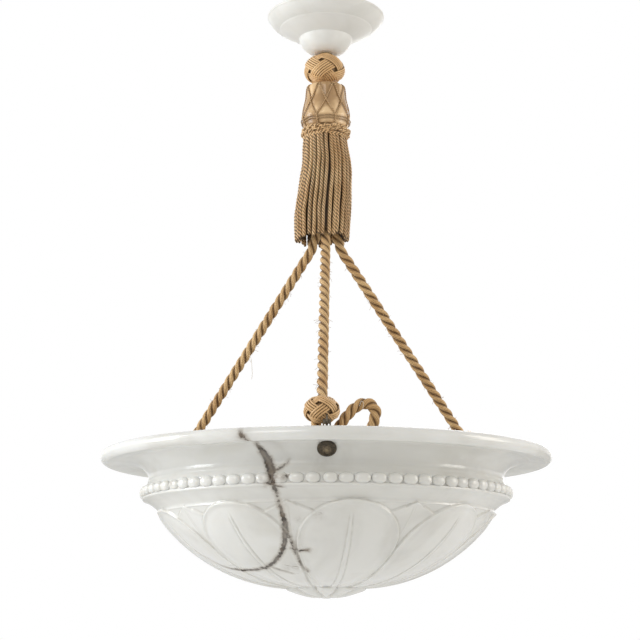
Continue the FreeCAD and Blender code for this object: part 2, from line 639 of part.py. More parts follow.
# ------------------------------------------------------------------ bowl and its fixings
def bowl():
    z = RIM_Z
    lip_top = z + LIP_UP
    lip_low = z - LIP_DOWN
    bead_z = z - BEAD_DROP
    fillet_z = z - FILLET_DROP
    ground_z = z - GROUND_DROP
    belly_z = z - BELLY_DROP
    rose_z = z - ROSETTE_DROP
    foot_z = rose_z - ROSETTE_H
    inner_belly = V(BELLY_R, 0, belly_z) + BELLY_INWARD * WALL
    (hollow_in, hollow_drop), (hollow_end, hollow_rise) = LIP_UNDER
    rose_mid = (ROSETTE_MID[0] * ROSETTE_R, rose_z - ROSETTE_MID[1] * ROSETTE_H)
    cove_mid = (GROUND_R + GROUND_COVE[0], (fillet_z + ground_z) / 2 - GROUND_COVE[1])
    outside = [
        (LIP_IN_R, lip_top), (LIP_IN_R + LIP_FLAT, lip_top), ((RIM_R, z + LIP_CREST), (LIP_EDGE_R, lip_low)),
        ((LIP_EDGE_R - hollow_in, z - hollow_drop), (LIP_EDGE_R - hollow_end, z - hollow_rise)),
        ((NECK_R + COVE_MID[0], z - COVE_MID[1]), (NECK_R, z - NECK_DROP)),
        ((NECK_R + NECK_FOOT[0], z - NECK_DROP - NECK_FOOT[1]),
         (BEAD_CENTRE_R - BEAD_QUIRK[0], bead_z + BEAD_R + BEAD_QUIRK[1])),
        (BEAD_CENTRE_R, bead_z + BEAD_R),
        ((BEAD_CENTRE_R + BEAD_R, bead_z), (BEAD_CENTRE_R, bead_z - BEAD_R)),
        (FILLET_R, bead_z - BEAD_R - FILLET_GAP), (FILLET_R, fillet_z),
        (FILLET_R - FILLET_EDGE[0], fillet_z - FILLET_EDGE[1]),
        (cove_mid, (GROUND_R, ground_z)),
        (GROUND_R + GROUND_STEP[0], ground_z - GROUND_STEP[1]),
        ((BELLY_R, belly_z), (ROSETTE_R, rose_z)),
        (ROSETTE_R - ROSETTE_STEP, rose_z - ROSETTE_STEP), (rose_mid, (ROSETTE_TIP_R, foot_z)), (0, foot_z)]
    inside = [
        (0, rose_z + WALL - FLOOR_DISH[0]), (ROSETTE_R - ROSETTE_STEP, rose_z + WALL - FLOOR_DISH[1]),
        ((inner_belly.x, inner_belly.z), (GROUND_R - WALL_IN[0], ground_z)),
        (NECK_R - WALL_IN[1], bead_z), (NECK_R - WALL_IN[2], z - NECK_DROP + NECK_RISE),
        ((SEAT_IN.x - SEAT_BULGE, SEAT_IN.z + SEAT_BULGE), (LIP_IN_R - LIP_DISH[0], lip_top - LIP_DISH[1])),
        (LIP_IN_R, lip_top)]
    shell = turned(*(outside + inside))
    hole = rod(BOLT_R + HOLE_GAP, SEAT_IN - BOLT_DIR * SEAT_CUT, SEAT_OUT + BOLT_DIR * SEAT_CUT)
    outer_seat = rod(PAD_R + SOFT_GAP, SEAT_OUT, SEAT_OUT + BOLT_DIR * SEAT_CUT)
    inner_seat = rod(INNER_SEAT_R, SEAT_IN, SEAT_IN - BOLT_DIR * SEAT_CUT)
    for azimuth in BOLT_AZIMUTHS:
        for cutter in (hole, outer_seat, inner_seat):
            shell = shell.cut(around(cutter, azimuth))
    return shell


def bolt_pad():
    pad = rod(PAD_R, SEAT_OUT, SEAT_OUT + BOLT_DIR * PAD_T)
    return pad.cut(rod(BOLT_R + HOLE_GAP, SEAT_OUT, SEAT_OUT + BOLT_DIR * PAD_T))


def rim_bolt():
    """Round-headed bolt: head outside, shank through the stone."""
    under_head = SEAT_OUT + BOLT_DIR * PAD_T
    tip = NUT_SEAT - BOLT_DIR * (RIM_NUT_T + BOLT_TIP)
    length = (under_head - tip).Length
    bolt = turned((0, 0), (BOLT_R, 0), (BOLT_R, length), (BOLT_HEAD_R, length),
                  (BOLT_HEAD_R, length + BOLT_HEAD_T - BOLT_DOME),
                  ((BOLT_HEAD_R * 0.65, length + BOLT_HEAD_T - 0.35 * BOLT_DOME),
                   (BOLT_FLAT_R, length + BOLT_HEAD_T)),
                  (0, length + BOLT_HEAD_T))
    bolt.Placement = FreeCAD.Placement(tip, FreeCAD.Rotation(V(0, 0, 1), BOLT_DIR))
    return bolt


def rim_washer():
    end = WASHER_SEAT - BOLT_DIR * RIM_WASHER_T
    return rod(RIM_WASHER_R, WASHER_SEAT, end).cut(rod(BOLT_R + HOLE_GAP, WASHER_SEAT, end))


def rim_nut():
    end = NUT_SEAT - BOLT_DIR * RIM_NUT_T
    nut = hexagon(RIM_NUT_R, RIM_NUT_T, NUT_SEAT, BOLT_DIR * -1)
    return nut.cut(rod(BOLT_R + RUN_GAP, NUT_SEAT, end))


def hanger():
    """Bent strip: foot under the nut, upright tab with a hole for the ring."""
    low = SEAT_IN - SLOPE_DIR * HANGER_FOOT
    top = V(HANGER_FOOT_END.x, 0, RIM_Z + HANGER_TOP)
    body = strip([low, HANGER_FOOT_END, top], HANGER_T, HANGER_W)
    bolt_hole = rod(BOLT_R + HOLE_GAP, SEAT_IN + BOLT_DIR, SEAT_IN - BOLT_DIR * (HANGER_T + 1))
    ring_hole = rod(HANGER_HOLE_R, V(top.x + 1, 0, HANGER_HOLE_Z), V(top.x - HANGER_T - 1, 0, HANGER_HOLE_Z))
    return body.cut(bolt_hole).cut(ring_hole)


def hanger_ring():
    return Part.makeTorus(RING_R, RING_WIRE_R, RING_CENTRE, V(0, 1, 0))


# ------------------------------------------------------------------ light cluster
def lamp_spider():
    """Three arms bolted under the rim nuts, meeting in a round plate."""
    start = SPIDER_SEAT + SLOPE_DIR * SPIDER_FOOT
    arm = strip([V(1, 0, HUB_PLATE_Z), ARM_BEND, start], SPIDER_T, SPIDER_W)
    arm = arm.cut(rod(BOLT_R + HOLE_GAP, SPIDER_SEAT + BOLT_DIR, SPIDER_SEAT - BOLT_DIR * (SPIDER_T + 1)))
    arm = arm.cut(Part.makeCylinder(HOLDER_STUD_R + STEM_HOLE_GAP, SPIDER_T * 3,
                                    V(HOLDER_CIRCLE_R, 0, HUB_PLATE_Z - SPIDER_T)))
    body = Part.makeCylinder(SPIDER_HUB_R, SPIDER_T, V(0, 0, HUB_PLATE_Z))
    for azimuth in BOLT_AZIMUTHS:
        body = body.fuse(around(arm, azimuth))
    return body.removeSplitter()


def terminal_cup():
    """Covered terminal block on the spider's plate, with an inlet for the rope tail."""
    top = CUP_Z + CUP_H
    cut = CUP_EDGE * (1 - cos(pi / 4))
    cup = turned((0, CUP_Z), (CUP_R, CUP_Z), (CUP_R, top - CUP_EDGE),
                 ((CUP_R - cut, top - cut), (CUP_R - CUP_EDGE, top)), (0, top))
    way = (TAIL[-1] - TAIL[-2]).normalize()
    return cup.cut(rod(TAIL_R + SOFT_GAP, TAIL[-1], TAIL[-1] - way * CUP_R * 2))


def lampholder():
    """Holder hung under an arm at the azimuth 0: stud, cap and open shell."""
    top = HUB_PLATE_Z
    foot = top - HOLDER_H
    body = turned(
        (0, top + HOLDER_STUD_H), (HOLDER_STUD_R, top + HOLDER_STUD_H), (HOLDER_STUD_R, top),
        (HOLDER_CAP_R, top), tuple((HOLDER_R - i, top - d) for i, d in HOLDER_SHOULDER),
        (HOLDER_R, foot), (HOLDER_BORE_R, foot), (HOLDER_BORE_R, foot + HOLDER_BORE_H),
        (0, foot + HOLDER_BORE_H))
    body.translate(V(HOLDER_CIRCLE_R, 0, 0))
    return body


def holder_nut():
    z = HUB_PLATE_Z + SPIDER_T
    nut = hexagon(HOLDER_NUT_R, HOLDER_NUT_H, V(HOLDER_CIRCLE_R, 0, z), V(0, 0, 1))
    return nut.cut(Part.makeCylinder(HOLDER_STUD_R + RUN_GAP, HOLDER_NUT_H, V(HOLDER_CIRCLE_R, 0, z)))


def bulb_cap():
    top = HUB_PLATE_Z - HOLDER_H + HOLDER_BORE_H
    cap = turned((0, top), (BULB_CAP_R - BULB_TIP, top), (BULB_CAP_R, top - BULB_TIP),
                 (BULB_CAP_R, top - BULB_CAP_H), (0, top - BULB_CAP_H))
    cap.translate(V(HOLDER_CIRCLE_R, 0, 0))
    return cap


def bulb_glass():
    """Round glass below its cap: a neck that widens into a ball."""
    top = HUB_PLATE_Z - HOLDER_H + HOLDER_BORE_H - BULB_CAP_H
    neck_r = BULB_CAP_R - BULB_NECK_IN
    centre = top - BULB_NECK_H - sqrt(BULB_R ** 2 - neck_r ** 2)
    glass = turned((0, top), (neck_r, top), (neck_r, top - BULB_NECK_H),
                   ((BULB_R, centre), (0, centre - BULB_R)))
    glass.translate(V(HOLDER_CIRCLE_R, 0, 0))
    return glass


# ------------------------------------------------------------------ build
def main():
    os.makedirs("parts", exist_ok=True)
    export(ceiling_plate(), "ceiling_plate")
    export(ceiling_hook(), "ceiling_hook")
    export(hook_link(), "hook_link")
    export(stem_eye(), "stem_eye")
    export(stem(), "stem")
    export(stem_washer(EYE_FOOT_Z), "canopy_washer")
    export(canopy(), "canopy")
    export(stem_nut(CANOPY_FOOT_Z), "canopy_nut")
    export(top_knot(), "top_knot")
    export(tassel_head(), "tassel_head")
    export(stem_nut(SPIGOT_FOOT_Z), "head_nut")
    export(tassel_winding(), "tassel_winding")
    export(tassel_skirt(), "tassel_skirt")
    export(stem_nut(CAVITY_Z), "swivel_nut")

    export(hub_cap(), "hub_cap")
    export(rope_block(), "rope_block")
    one_rope = rope()
    one_knot = lower_knot()
    pocket = rod(TAIL_R + SOFT_GAP, TAIL[0], TAIL[0] + (TAIL[1] - TAIL[0]).normalize() * KNOT_H)
    for azimuth, side in zip(BOLT_AZIMUTHS, SIDES):
        export(around(one_rope, azimuth + KNOT_TURN), "rope_%s" % side)
        knot = around(one_knot, azimuth + KNOT_TURN).cut(around(hanger_room(), azimuth))
        if side == "front":
            knot = knot.cut(pocket)
        export(knot, "knot_%s" % side)
    export(rope_tail(), "rope_tail")
    export(ring_of(hanger_ring()), "hanger_rings")
    export(ring_of(hanger()), "hangers")
    export(bowl(), "bowl")
    export(ring_of(bolt_pad()), "bolt_pads")
    export(ring_of(rim_bolt()), "rim_bolts")
    export(ring_of(rim_washer()), "rim_washers")
    export(ring_of(rim_nut()), "rim_nuts")
    export(lamp_spider(), "lamp_spider")
    export(terminal_cup(), "terminal_cup")
    export(ring_of(lampholder()), "lampholders")
    export(ring_of(holder_nut()), "holder_nuts")
    export(ring_of(bulb_cap()), "bulb_caps")
    export(ring_of(bulb_glass()), "bulb_glass")
    print("pivots: link %.2f, lamp %.2f" % (HOOK_SEAT_Z, LINK_SEAT_Z))


main()
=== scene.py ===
"""Alabaster bowl pendant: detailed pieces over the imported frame.

Helpers work in millimetres, in the part's own frame; a piece becomes metres when it is made.
Azimuths are degrees about the hanging axis from +X. The front is at -90. Phi counts degrees to
the right of the front instead.
"""
from cmath import phase, rect
from math import atan2, cos, degrees, hypot, pi, radians, sin
import bpy
import numpy as np
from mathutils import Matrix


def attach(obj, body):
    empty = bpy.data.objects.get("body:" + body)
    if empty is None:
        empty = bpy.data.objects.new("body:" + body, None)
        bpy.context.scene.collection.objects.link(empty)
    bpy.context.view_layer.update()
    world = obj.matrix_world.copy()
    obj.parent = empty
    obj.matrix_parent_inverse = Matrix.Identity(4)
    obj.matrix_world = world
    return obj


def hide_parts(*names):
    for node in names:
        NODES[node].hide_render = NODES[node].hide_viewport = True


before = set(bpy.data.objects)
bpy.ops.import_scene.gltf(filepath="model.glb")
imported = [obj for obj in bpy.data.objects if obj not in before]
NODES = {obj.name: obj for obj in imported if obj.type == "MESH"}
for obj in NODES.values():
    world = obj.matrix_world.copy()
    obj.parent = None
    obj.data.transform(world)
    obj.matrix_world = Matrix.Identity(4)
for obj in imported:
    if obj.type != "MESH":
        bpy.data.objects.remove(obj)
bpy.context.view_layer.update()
MM = 0.001
DEG = radians(1)
RIM_Z = -579.0  # height of the lip's widest circle
AZIMUTHS = {"front": -90.0, "right": 30.0, "left": 150.0}  # bolts and hangers
KNOT_REACH = hypot(204.0, 5.5)  # lower knots: distance from the axis,
KNOT_TURN = degrees(atan2(-5.5, 204.0))  # turn from their bolt's azimuth,
KNOT_RISE = 34.0  # and height over RIM_Z
END_RINGS = np.radians([88.0, 60.0, 30.0])  # latitudes that round off a tube's end


# ---------------- mesh parts
class Part:
    """Points, faces, one (u, v) per face corner and named values per point."""

    def __init__(self, points, faces, uvs, **values):
        self.points, self.faces, self.uvs, self.values = points, faces, uvs, values


def cells(sheet):
    """The four corners of each cell of a sheet of values."""
    return np.stack([sheet[:-1, :-1], sheet[:-1, 1:], sheet[1:, 1:], sheet[1:, :-1]], 2)


def grid(points, along=None, flip=False, **values):
    """A rows x columns sheet whose last column joins the first."""
    rows, columns = points.shape[:2]
    index = np.arange(rows * columns).reshape(rows, columns)
    index = np.hstack([index, index[:, :1]])
    along = np.arange(rows, dtype=float) if along is None else along
    uv = np.stack(np.meshgrid(np.arange(columns + 1) / columns, along), -1)
    faces, uvs = cells(index).reshape(-1, 4), cells(uv).reshape(-1, 4, 2)
    if flip:
        faces, uvs = faces[:, ::-1], uvs[:, ::-1]
    values = {key: value.reshape(-1) for key, value in values.items()}
    return Part(points.reshape(-1, 3), faces, uvs.reshape(-1, 2), **values)


def added(name, data):
    """A new object in the scene."""
    thing = bpy.data.objects.new(name, data)
    bpy.context.scene.collection.objects.link(thing)
    return thing


def make(name, parts, material, body, replaces=()):
    """One object from parts, in metres, riding on a body."""
    base, faces = 0, []
    for part in parts:
        faces.append(part.faces + base)
        base += len(part.points)
    points = np.concatenate([part.points for part in parts])
    mesh = bpy.data.meshes.new(name)
    mesh.from_pydata((points * MM).tolist(), [], np.concatenate(faces).tolist())
    layer = mesh.uv_layers.new(name="UVMap")
    uvs = np.concatenate([part.uvs for part in parts])
    layer.data.foreach_set("uv", uvs.astype(np.float32).ravel())
    for key in sorted({k for part in parts for k in part.values}):
        data = np.concatenate([p.values.get(key, np.zeros(len(p.points))) for p in parts])
        store = mesh.attributes.new(key, "FLOAT", "POINT")
        store.data.foreach_set("value", data.astype(np.float32))
    mesh.shade_smooth()
    mesh.materials.append(material)
    piece = added(name, mesh)
    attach(piece, body)
    if replaces:
        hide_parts(*replaces)
    return piece


def with_depth(part, value):
    """The part with one depth all over."""
    part.values["depth"] = np.full(len(part.points), value)
    return part


def unit(v):
    return v / np.maximum(np.linalg.norm(v, axis=-1, keepdims=True), 1e-12)


def lengths(path):
    """Distance along a path to each of its points."""
    return np.concatenate([[0], np.cumsum(np.linalg.norm(np.diff(path, axis=0), axis=1))])


def resample(path, step):
    """Points a step apart along a polyline."""
    path = np.asarray(path, float)
    s = lengths(path)
    at = np.linspace(0, s[-1], max(int(s[-1] / step), 2) + 1)
    return np.stack([np.interp(at, s, path[:, i]) for i in range(3)], 1)


def smooth_path(path, step):
    """A smooth curve through the points (Catmull-Rom), then resampled."""
    p = np.asarray(path, float)
    p = np.vstack([2 * p[0] - p[1], p, 2 * p[-1] - p[-2]])
    t = np.linspace(0, 1, 24, endpoint=False)[:, None]
    out = []
    for a, b, c, d in zip(p, p[1:], p[2:], p[3:]):
        out.append(0.5 * (2 * b + (c - a) * t + (2 * a - 5 * b + 4 * c - d) * t ** 2
                          + (3 * b - a - 3 * c + d) * t ** 3))
    return resample(np.vstack(out + [p[-2:-1]]), step)


def frames_along(path, closed=False):
    """Tangents and two steady normals along a path."""
    if closed:
        tangent = unit(np.roll(path, -1, axis=0) - np.roll(path, 1, axis=0))
    else:
        tangent = unit(np.gradient(path, axis=0))
    side = np.empty_like(path)
    side[0] = unit(np.cross(tangent[0], [0.3, 0.9, 0.2]))  # any direction across the path
    for i in range(1, len(path)):
        side[i] = unit(side[i - 1] - tangent[i] * side[i - 1].dot(tangent[i]))
    up = np.cross(tangent, side)
    if closed:
        n = side[-1] - tangent[0] * side[-1].dot(tangent[0])
        drift = atan2(n.dot(up[0]), n.dot(side[0]))
        turn = -drift * np.arange(len(path))[:, None] / len(path)
        side, up = (side * np.cos(turn) + up * np.sin(turn),
                    up * np.cos(turn) - side * np.sin(turn))
    return tangent, side, up


def with_ends(rows, closed):
    """A tube's rows with the first once more, or, if it is open, with those of its round ends."""
    if closed:
        return np.vstack([rows, rows[:1]])
    n = len(END_RINGS)
    return np.vstack([np.repeat(rows[:1], n, 0), rows, np.repeat(rows[-1:], n, 0)])


def tube(path, radius, sides=8, closed=False, out=None, unit_depth=1.0):
    """Round tube along a path, its open ends rounded.

    With out, the way from the rope's heart to this strand, it carries "depth": how far that way
    a point lies from the path, over unit_depth.
    """
    radius = np.broadcast_to(np.asarray(radius, float), (len(path),))
    tangent, side, up = frames_along(path, closed)
    centre = with_ends(path, closed)
    if not closed:
        head = path[0] - tangent[0] * radius[0] * np.sin(END_RINGS)[:, None]
        tail = path[-1] + tangent[-1] * radius[-1] * np.sin(END_RINGS[::-1])[:, None]
        path = np.vstack([head, path, tail])
        radius = np.concatenate([radius[0] * np.cos(END_RINGS), radius,
                                 radius[-1] * np.cos(END_RINGS[::-1])])
        side, up = with_ends(side, closed), with_ends(up, closed)
    angle = circle(sides)[:, None]
    ring = side[:, None] * np.cos(angle) + up[:, None] * np.sin(angle)
    points = path[:, None] + ring * radius[:, None, None]
    s = lengths(path)
    if closed:
        points = np.concatenate([points, points[:1]])
        s = np.append(s, s[-1] + np.linalg.norm(path[0] - path[-1]))
    values = {}
    if out is not None:
        rows = points - centre[:, None]
        values["depth"] = np.einsum("ijk,ik->ij", rows, with_ends(out, closed)) / unit_depth
    return grid(points, along=s, **values)


def laid(path, radius, strands, pitch, start=0.0, sides=10, fill=1.0, closed=False, scale=1.0):
    """Strands laid round a path (S lay) as a rope of that outer radius, scaled along it."""
    strand_r = radius / (1 + 1 / sin(pi / strands)) * fill
    _, side, up = frames_along(path, closed)
    s = lengths(path)
    turn = -2 * pi * s / pitch
    if closed:
        whole = s[-1] + np.linalg.norm(path[0] - path[-1])
        turn = -2 * pi * s / whole * max(round(whole / pitch), 1)
    scale = np.broadcast_to(scale, len(path))
    parts = []
    for i in range(strands):
        a = (turn + start + 2 * pi * i / strands)[:, None]
        out = side * np.cos(a) + up * np.sin(a)
        line = path + out * ((radius - strand_r) * scale)[:, None]
        parts.append(tube(line, strand_r * scale, sides, closed, out, strand_r))
    return parts


def circle(steps):
    """Angles round a circle, in radians."""
    return np.linspace(0, 2 * pi, steps, endpoint=False)


def polar(radius, angle, z):
    """Points about Z, the angle in radians."""
    x, y = radius * np.cos(angle), radius * np.sin(angle)
    return np.stack(np.broadcast_arrays(x, y, z), -1)


def sphere(rows, columns, gap):
    """Points round the unit ball about Z; gap is the angle left open at each pole."""
    lat = np.linspace(-pi / 2 + gap, pi / 2 - gap, rows)[:, None]
    return polar(np.cos(lat), circle(columns), np.sin(lat))


def arc(a, mid, b, step):
    """Points of the circle through three (radius, height) points, without the first."""
    p, q, r = (complex(*point) for point in (a, mid, b))
    w = (r - p) / (q - p)
    centre = p + (q - p) * (w - abs(w) ** 2) / (w - w.conjugate())
    radius = abs(p - centre)
    t0, tm, t1 = (phase(point - centre) for point in (p, q, r))
    sweep = (t1 - t0) % (2 * pi)
    if (tm - t0) % (2 * pi) > sweep:
        sweep -= 2 * pi
    n = max(int(abs(sweep) * radius / step), 2)
    points = [centre + rect(radius, t0 + sweep * i / n) for i in range(1, n + 1)]
    return [(point.real, point.imag) for point in points]


def line(a, b, step):
    """Points of a straight line, without the first."""
    n = max(int(hypot(b[0] - a[0], b[1] - a[1]) / step), 1)
    return np.linspace(a, b, n + 1)[1:].tolist()


def outline(*pieces, step=1.0):
    """Dense profile from points and (mid, end) arcs."""
    points = [pieces[0]]
    for piece in pieces[1:]:
        if isinstance(piece[0], tuple):
            points += arc(points[-1], *piece, step)
        else:
            points += line(points[-1], piece, step)
    return np.array(points)


def around(points, angle):
    """Points turned about Z by an angle in degrees."""
    c, s = cos(radians(angle)), sin(radians(angle))
    return np.asarray(points, float) @ np.array([[c, s, 0], [-s, c, 0], [0, 0, 1]])


def ease(x, low, high):
    """0 at low and 1 at high, smooth between them; low may be the larger."""
    t = np.clip((x - low) / (high - low), 0, 1)
    return t * t * (3 - 2 * t)


def bell(x, width):
    return np.exp(-(x / width) ** 2)


def wrapped(angle):
    """The same angle between -180 and 180 degrees."""
    return (angle + 180) % 360 - 180


# ---------------- materials
class Paint:
    """Builds one procedural material, node by node."""

    def __init__(self, name, color, roughness, metallic=0.0, **sockets):
        self.mat = bpy.data.materials.new(name)
        self.mat.use_nodes = True
        self.tree = self.mat.node_tree
        self.bsdf = self.tree.nodes["Principled BSDF"]
        sockets.update(Base_Color=(*color, 1), Roughness=roughness, Metallic=metallic)
        for key, value in sockets.items():
            self.bsdf.inputs[key.replace("_", " ")].default_value = value
        self.coords = self.tree.nodes.new("ShaderNodeTexCoord")

    def put(self, socket, value):
        """A link or a plain value on a socket; colours may come without alpha."""
        if isinstance(value, bpy.types.NodeSocket):
            self.tree.links.new(value, socket)
        else:
            socket.default_value = (*value, 1) if isinstance(value, tuple) else value

    def node(self, kind, inputs, **settings):
        n = self.tree.nodes.new("ShaderNode" + kind)
        for key, value in settings.items():
            setattr(n, key, value)
        for key, value in inputs.items():
            self.put(n.inputs[key], value)
        return n

    def set(self, socket, value):
        self.put(self.bsdf.inputs[socket], value)

    def math(self, op, a, b=0.0):
        return self.node("Math", {0: a, 1: b}, operation=op).outputs[0]

    def plus(self, a, b):
        return self.math("ADD", a, b)

    def minus(self, a, b):
        return self.math("SUBTRACT", a, b)

    def times(self, a, b):
        return self.math("MULTIPLY", a, b)

    def mix(self, factor, a, b):
        return self.node("Mix", {0: factor, 6: a, 7: b}, data_type="RGBA").outputs[2]

    def noise(self, scale, detail=3.0, rough=0.5, distortion=0.0):
        inputs = {"Vector": self.coords.outputs["Object"], "Scale": scale, "Detail": detail,
                  "Roughness": rough, "Distortion": distortion}
        return self.node("TexNoise", inputs).outputs["Fac"]

    def ramp(self, value, *stops):
        n = self.node("ValToRGB", {"Fac": value})
        ramp = n.color_ramp
        ramp.interpolation = "EASE"
        while len(ramp.elements) < len(stops):
            ramp.elements.new(0.5)
        for element, (at, color) in zip(ramp.elements, stops):
            element.position = at
            element.color = (*color, 1) if isinstance(color, tuple) else (color, color, color, 1)
        return n.outputs["Color"]

    def band(self, value, gain, shift, *stops):
        """A ramp over value * gain + shift."""
        return self.ramp(self.plus(self.times(value, gain), shift), *stops)

    def attribute(self, name):
        return self.node("Attribute", {}, attribute_name=name).outputs["Fac"]

    def bump(self, height, strength, distance, under=None):
        inputs = {"Height": height, "Strength": strength, "Distance": distance}
        if under is not None:
            inputs["Normal"] = under
        return self.node("Bump", inputs).outputs["Normal"]


STONE = (0.80, 0.79, 0.75)
STONE_GLOW = {"Subsurface_Radius": (1.0, 0.9, 0.75), "Subsurface_Scale": 0.004}


def alabaster():
    p = Paint("alabaster", STONE, 0.22, IOR=1.52, Coat_Weight=0.12, Coat_Roughness=0.12,
              **STONE_GLOW)
    # clouds, then broad warm patches and smaller wisps
    tone = p.ramp(p.noise(9.0, 4.0, 0.55, 0.8), (0.30, (0.70, 0.69, 0.655)),
                  (0.52, (0.79, 0.785, 0.755)), (0.75, (0.84, 0.84, 0.825)))
    patch = p.ramp(p.noise(3.2, 2.0, 0.5, 0.4), (0.45, 0.0), (0.75, 0.55))
    tone = p.mix(patch, tone, (0.67, 0.655, 0.595))
    wisp = p.ramp(p.noise(13.0, 3.0, 0.5, 0.7), (0.50, 0.0), (0.74, 0.40))
    tone = p.mix(wisp, tone, (0.66, 0.645, 0.59))
    # veins: a brown halo, a dark frayed core, and a paler heart where the vein is wide
    vein = p.attribute("vein")
    fray = p.times(p.minus(p.noise(120.0, 5.0, 0.68, 0.9), 0.5), 6.8)
    fine = p.times(p.minus(p.noise(420.0, 4.0, 0.6), 0.5), 3.0)
    edge = p.plus(vein, p.plus(fray, fine))
    halo = p.band(p.plus(vein, fray), 0.05, 0.5, (0.50, 1.0), (0.72, 0.0))
    tone = p.mix(p.times(halo, 0.60), tone, (0.42, 0.37, 0.31))
    dark = p.ramp(p.noise(150.0, 4.0, 0.6), (0.38, (0.028, 0.021, 0.016)),
                  (0.68, (0.13, 0.095, 0.065)))
    heart = p.band(edge, 0.2, 1.0, (0.30, 0.85), (0.72, 0.0))
    dark = p.mix(heart, dark, (0.17, 0.135, 0.10))
    core = p.band(edge, 0.2, 0.5, (0.34, 1.0), (0.76, 0.0))
    strength = p.ramp(p.noise(60.0, 3.0, 0.5), (0.30, 0.72), (0.58, 1.0))
    tone = p.mix(p.times(core, strength), tone, dark)
    # hairlines, stains with a painted shadow under the front bolt, and painted shade in the
    # creases of the carving
    hair = p.plus(p.attribute("hair"), p.times(fine, 0.5))
    hair = p.band(hair, 0.3, 0.5, (0.46, 1.0), (0.62, 0.0))
    tone = p.mix(p.times(hair, 0.62), tone, (0.20, 0.16, 0.12))
    # brown stains, and the painted shadow under the front bolt's head
    speck = p.ramp(p.noise(180.0, 4.0, 0.7), (0.40, 0.35), (0.66, 1.0))
    tone = p.mix(p.times(p.attribute("stain"), speck), tone, (0.24, 0.19, 0.14))
    # painted shade in the creases of the carving, broken up by noise
    crease_shade_noise = p.ramp(p.noise(75.0, 3.0, 0.6), (0.35, 0.25), (0.70, 0.80))
    tone = p.mix(p.times(p.attribute("crease"), crease_shade_noise), tone, (0.50, 0.475, 0.42))
    p.set("Base Color", tone)
    p.set("Subsurface Weight", p.times(p.minus(1.0, halo), 0.3))
    rough = p.ramp(p.noise(18.0, 2.0, 0.5), (0.3, 0.18), (0.75, 0.27))
    p.set("Roughness", p.plus(rough, p.times(core, 0.25)))
    p.set("Normal", p.bump(p.noise(22.0, 2.0, 0.5), 0.05, 0.0015))
    return p.mat


def plain(name, color, roughness, clouds, stops, grain, **sockets):
    """A surface with one soft change of tone and a fine bump."""
    p = Paint(name, color, roughness, **sockets)
    p.set("Base Color", p.ramp(p.noise(*clouds), *stops))
    *noise, strength, distance = grain
    p.set("Normal", p.bump(p.noise(*noise), strength, distance))
    return p.mat


CORDS = {
    # name: light and dark colour, colour of the painted shade in the grooves, number and lean of
    # the yarns, roughness, sheen, bump, strength of the painted shade in the yarns' furrows, and
    # strength, inner and outer end of the painted shade in the strands' grooves
    "rope_tan": ((0.88, 0.60, 0.295), (0.66, 0.395, 0.165), (0.14, 0.065, 0.02),
                 9, 0.16, 0.58, 0.12, 0.8, 0.45, 0.88, 0.50, 0.96),
    "satin_cord": ((0.86, 0.565, 0.28), (0.68, 0.405, 0.175), (0.09, 0.042, 0.013),
                   5, 0.05, 0.34, 0.1, 0.16, 0.12, 0.96, 0.54, 0.95),
    "tassel_cord": ((0.96, 0.645, 0.34), (0.74, 0.435, 0.19), (0.045, 0.02, 0.007),
                    4, 0.25, 0.38, 0.1, 0.35, 0.15, 0.97, 0.60, 0.97),
    "fine_cord": ((0.90, 0.61, 0.32), (0.72, 0.44, 0.195), (0.12, 0.055, 0.02),
                  4, 0.1, 0.40, 0.1, 0.2, 0.1, 0.75, 0.50, 0.95),
    "pale_thread": ((0.86, 0.80, 0.70), (0.80, 0.72, 0.60), (0.50, 0.40, 0.30),
                    3, 0.2, 0.6, 0.2, 0.5, 0.25, 0.0, 0.44, 0.90)}


def cord_paint(name):
    """Yarn that runs along a strand, leaning by a number of turns per millimetre of it, with
    painted shade in the furrows between yarns and between strands.
    """
    (light, dark, groove, lines, lean, roughness, sheen, bump, furrow_shade, depth, inner,
     outer) = CORDS[name]
    p = Paint(name, light, roughness, Sheen_Weight=sheen, Sheen_Roughness=0.4, IOR=1.45)
    uv = p.node("SeparateXYZ", {0: p.coords.outputs["UV"]})
    turn = p.plus(p.times(uv.outputs[0], float(lines)), p.times(uv.outputs[1], lean))
    wobble = p.times(p.noise(300.0, 3.0, 0.6), 0.8)
    wave = p.math("SINE", p.times(p.plus(turn, wobble), 2 * pi))
    yarn = p.plus(p.times(wave, 0.5), 0.5)
    tone = p.ramp(p.noise(38.0, 3.0, 0.55), (0.30, dark), (0.68, light))
    # painted shade in the furrows between the yarns
    tone = p.mix(p.times(p.minus(1.0, yarn), furrow_shade), tone, groove)
    # painted shade where a strand faces into the rope, between the strands
    deep = p.band(p.attribute("depth"), 0.5, 0.5, (inner, 1.0), (outer, 0.0))
    tone = p.mix(p.times(deep, depth), tone, groove)
    fuzz = p.noise(2600.0, 2.0, 0.5)
    tone = p.mix(p.ramp(fuzz, (0.45, 0.0), (0.8, 0.18)), tone,
                 tuple(min(c * 1.25, 1) for c in light))
    p.set("Base Color", tone)
    p.set("Normal", p.bump(yarn, bump, 0.0004, p.bump(fuzz, 0.25, 0.0003)))
    return p.mat


def satin_cloth():
    p = Paint("satin_cloth", (0.60, 0.45, 0.27), 0.26, Sheen_Weight=0.3, Sheen_Roughness=0.3,
              Anisotropic=0.4, IOR=1.5)
    tone = p.ramp(p.noise(30.0, 3.0, 0.5), (0.36, (0.42, 0.25, 0.11)),
                  (0.60, (0.84, 0.59, 0.325)))
    inputs = {"Vector": p.coords.outputs["Object"], "Scale": 320.0, "Distortion": 1.5}
    weave = p.node("TexWave", inputs, bands_direction="Z").outputs["Fac"]
    # painted shade along the net's cords, where the cloth dips under them
    tone = p.mix(p.times(p.attribute("crease"), 0.55), tone, (0.17, 0.095, 0.04))
    p.set("Base Color", p.mix(p.times(weave, 0.10), tone, (0.36, 0.24, 0.12)))
    folds = p.bump(p.noise(120.0, 3.0, 0.6), 0.2, 0.0012)
    p.set("Normal", p.bump(weave, 0.10, 0.0002, folds))
    return p.mat


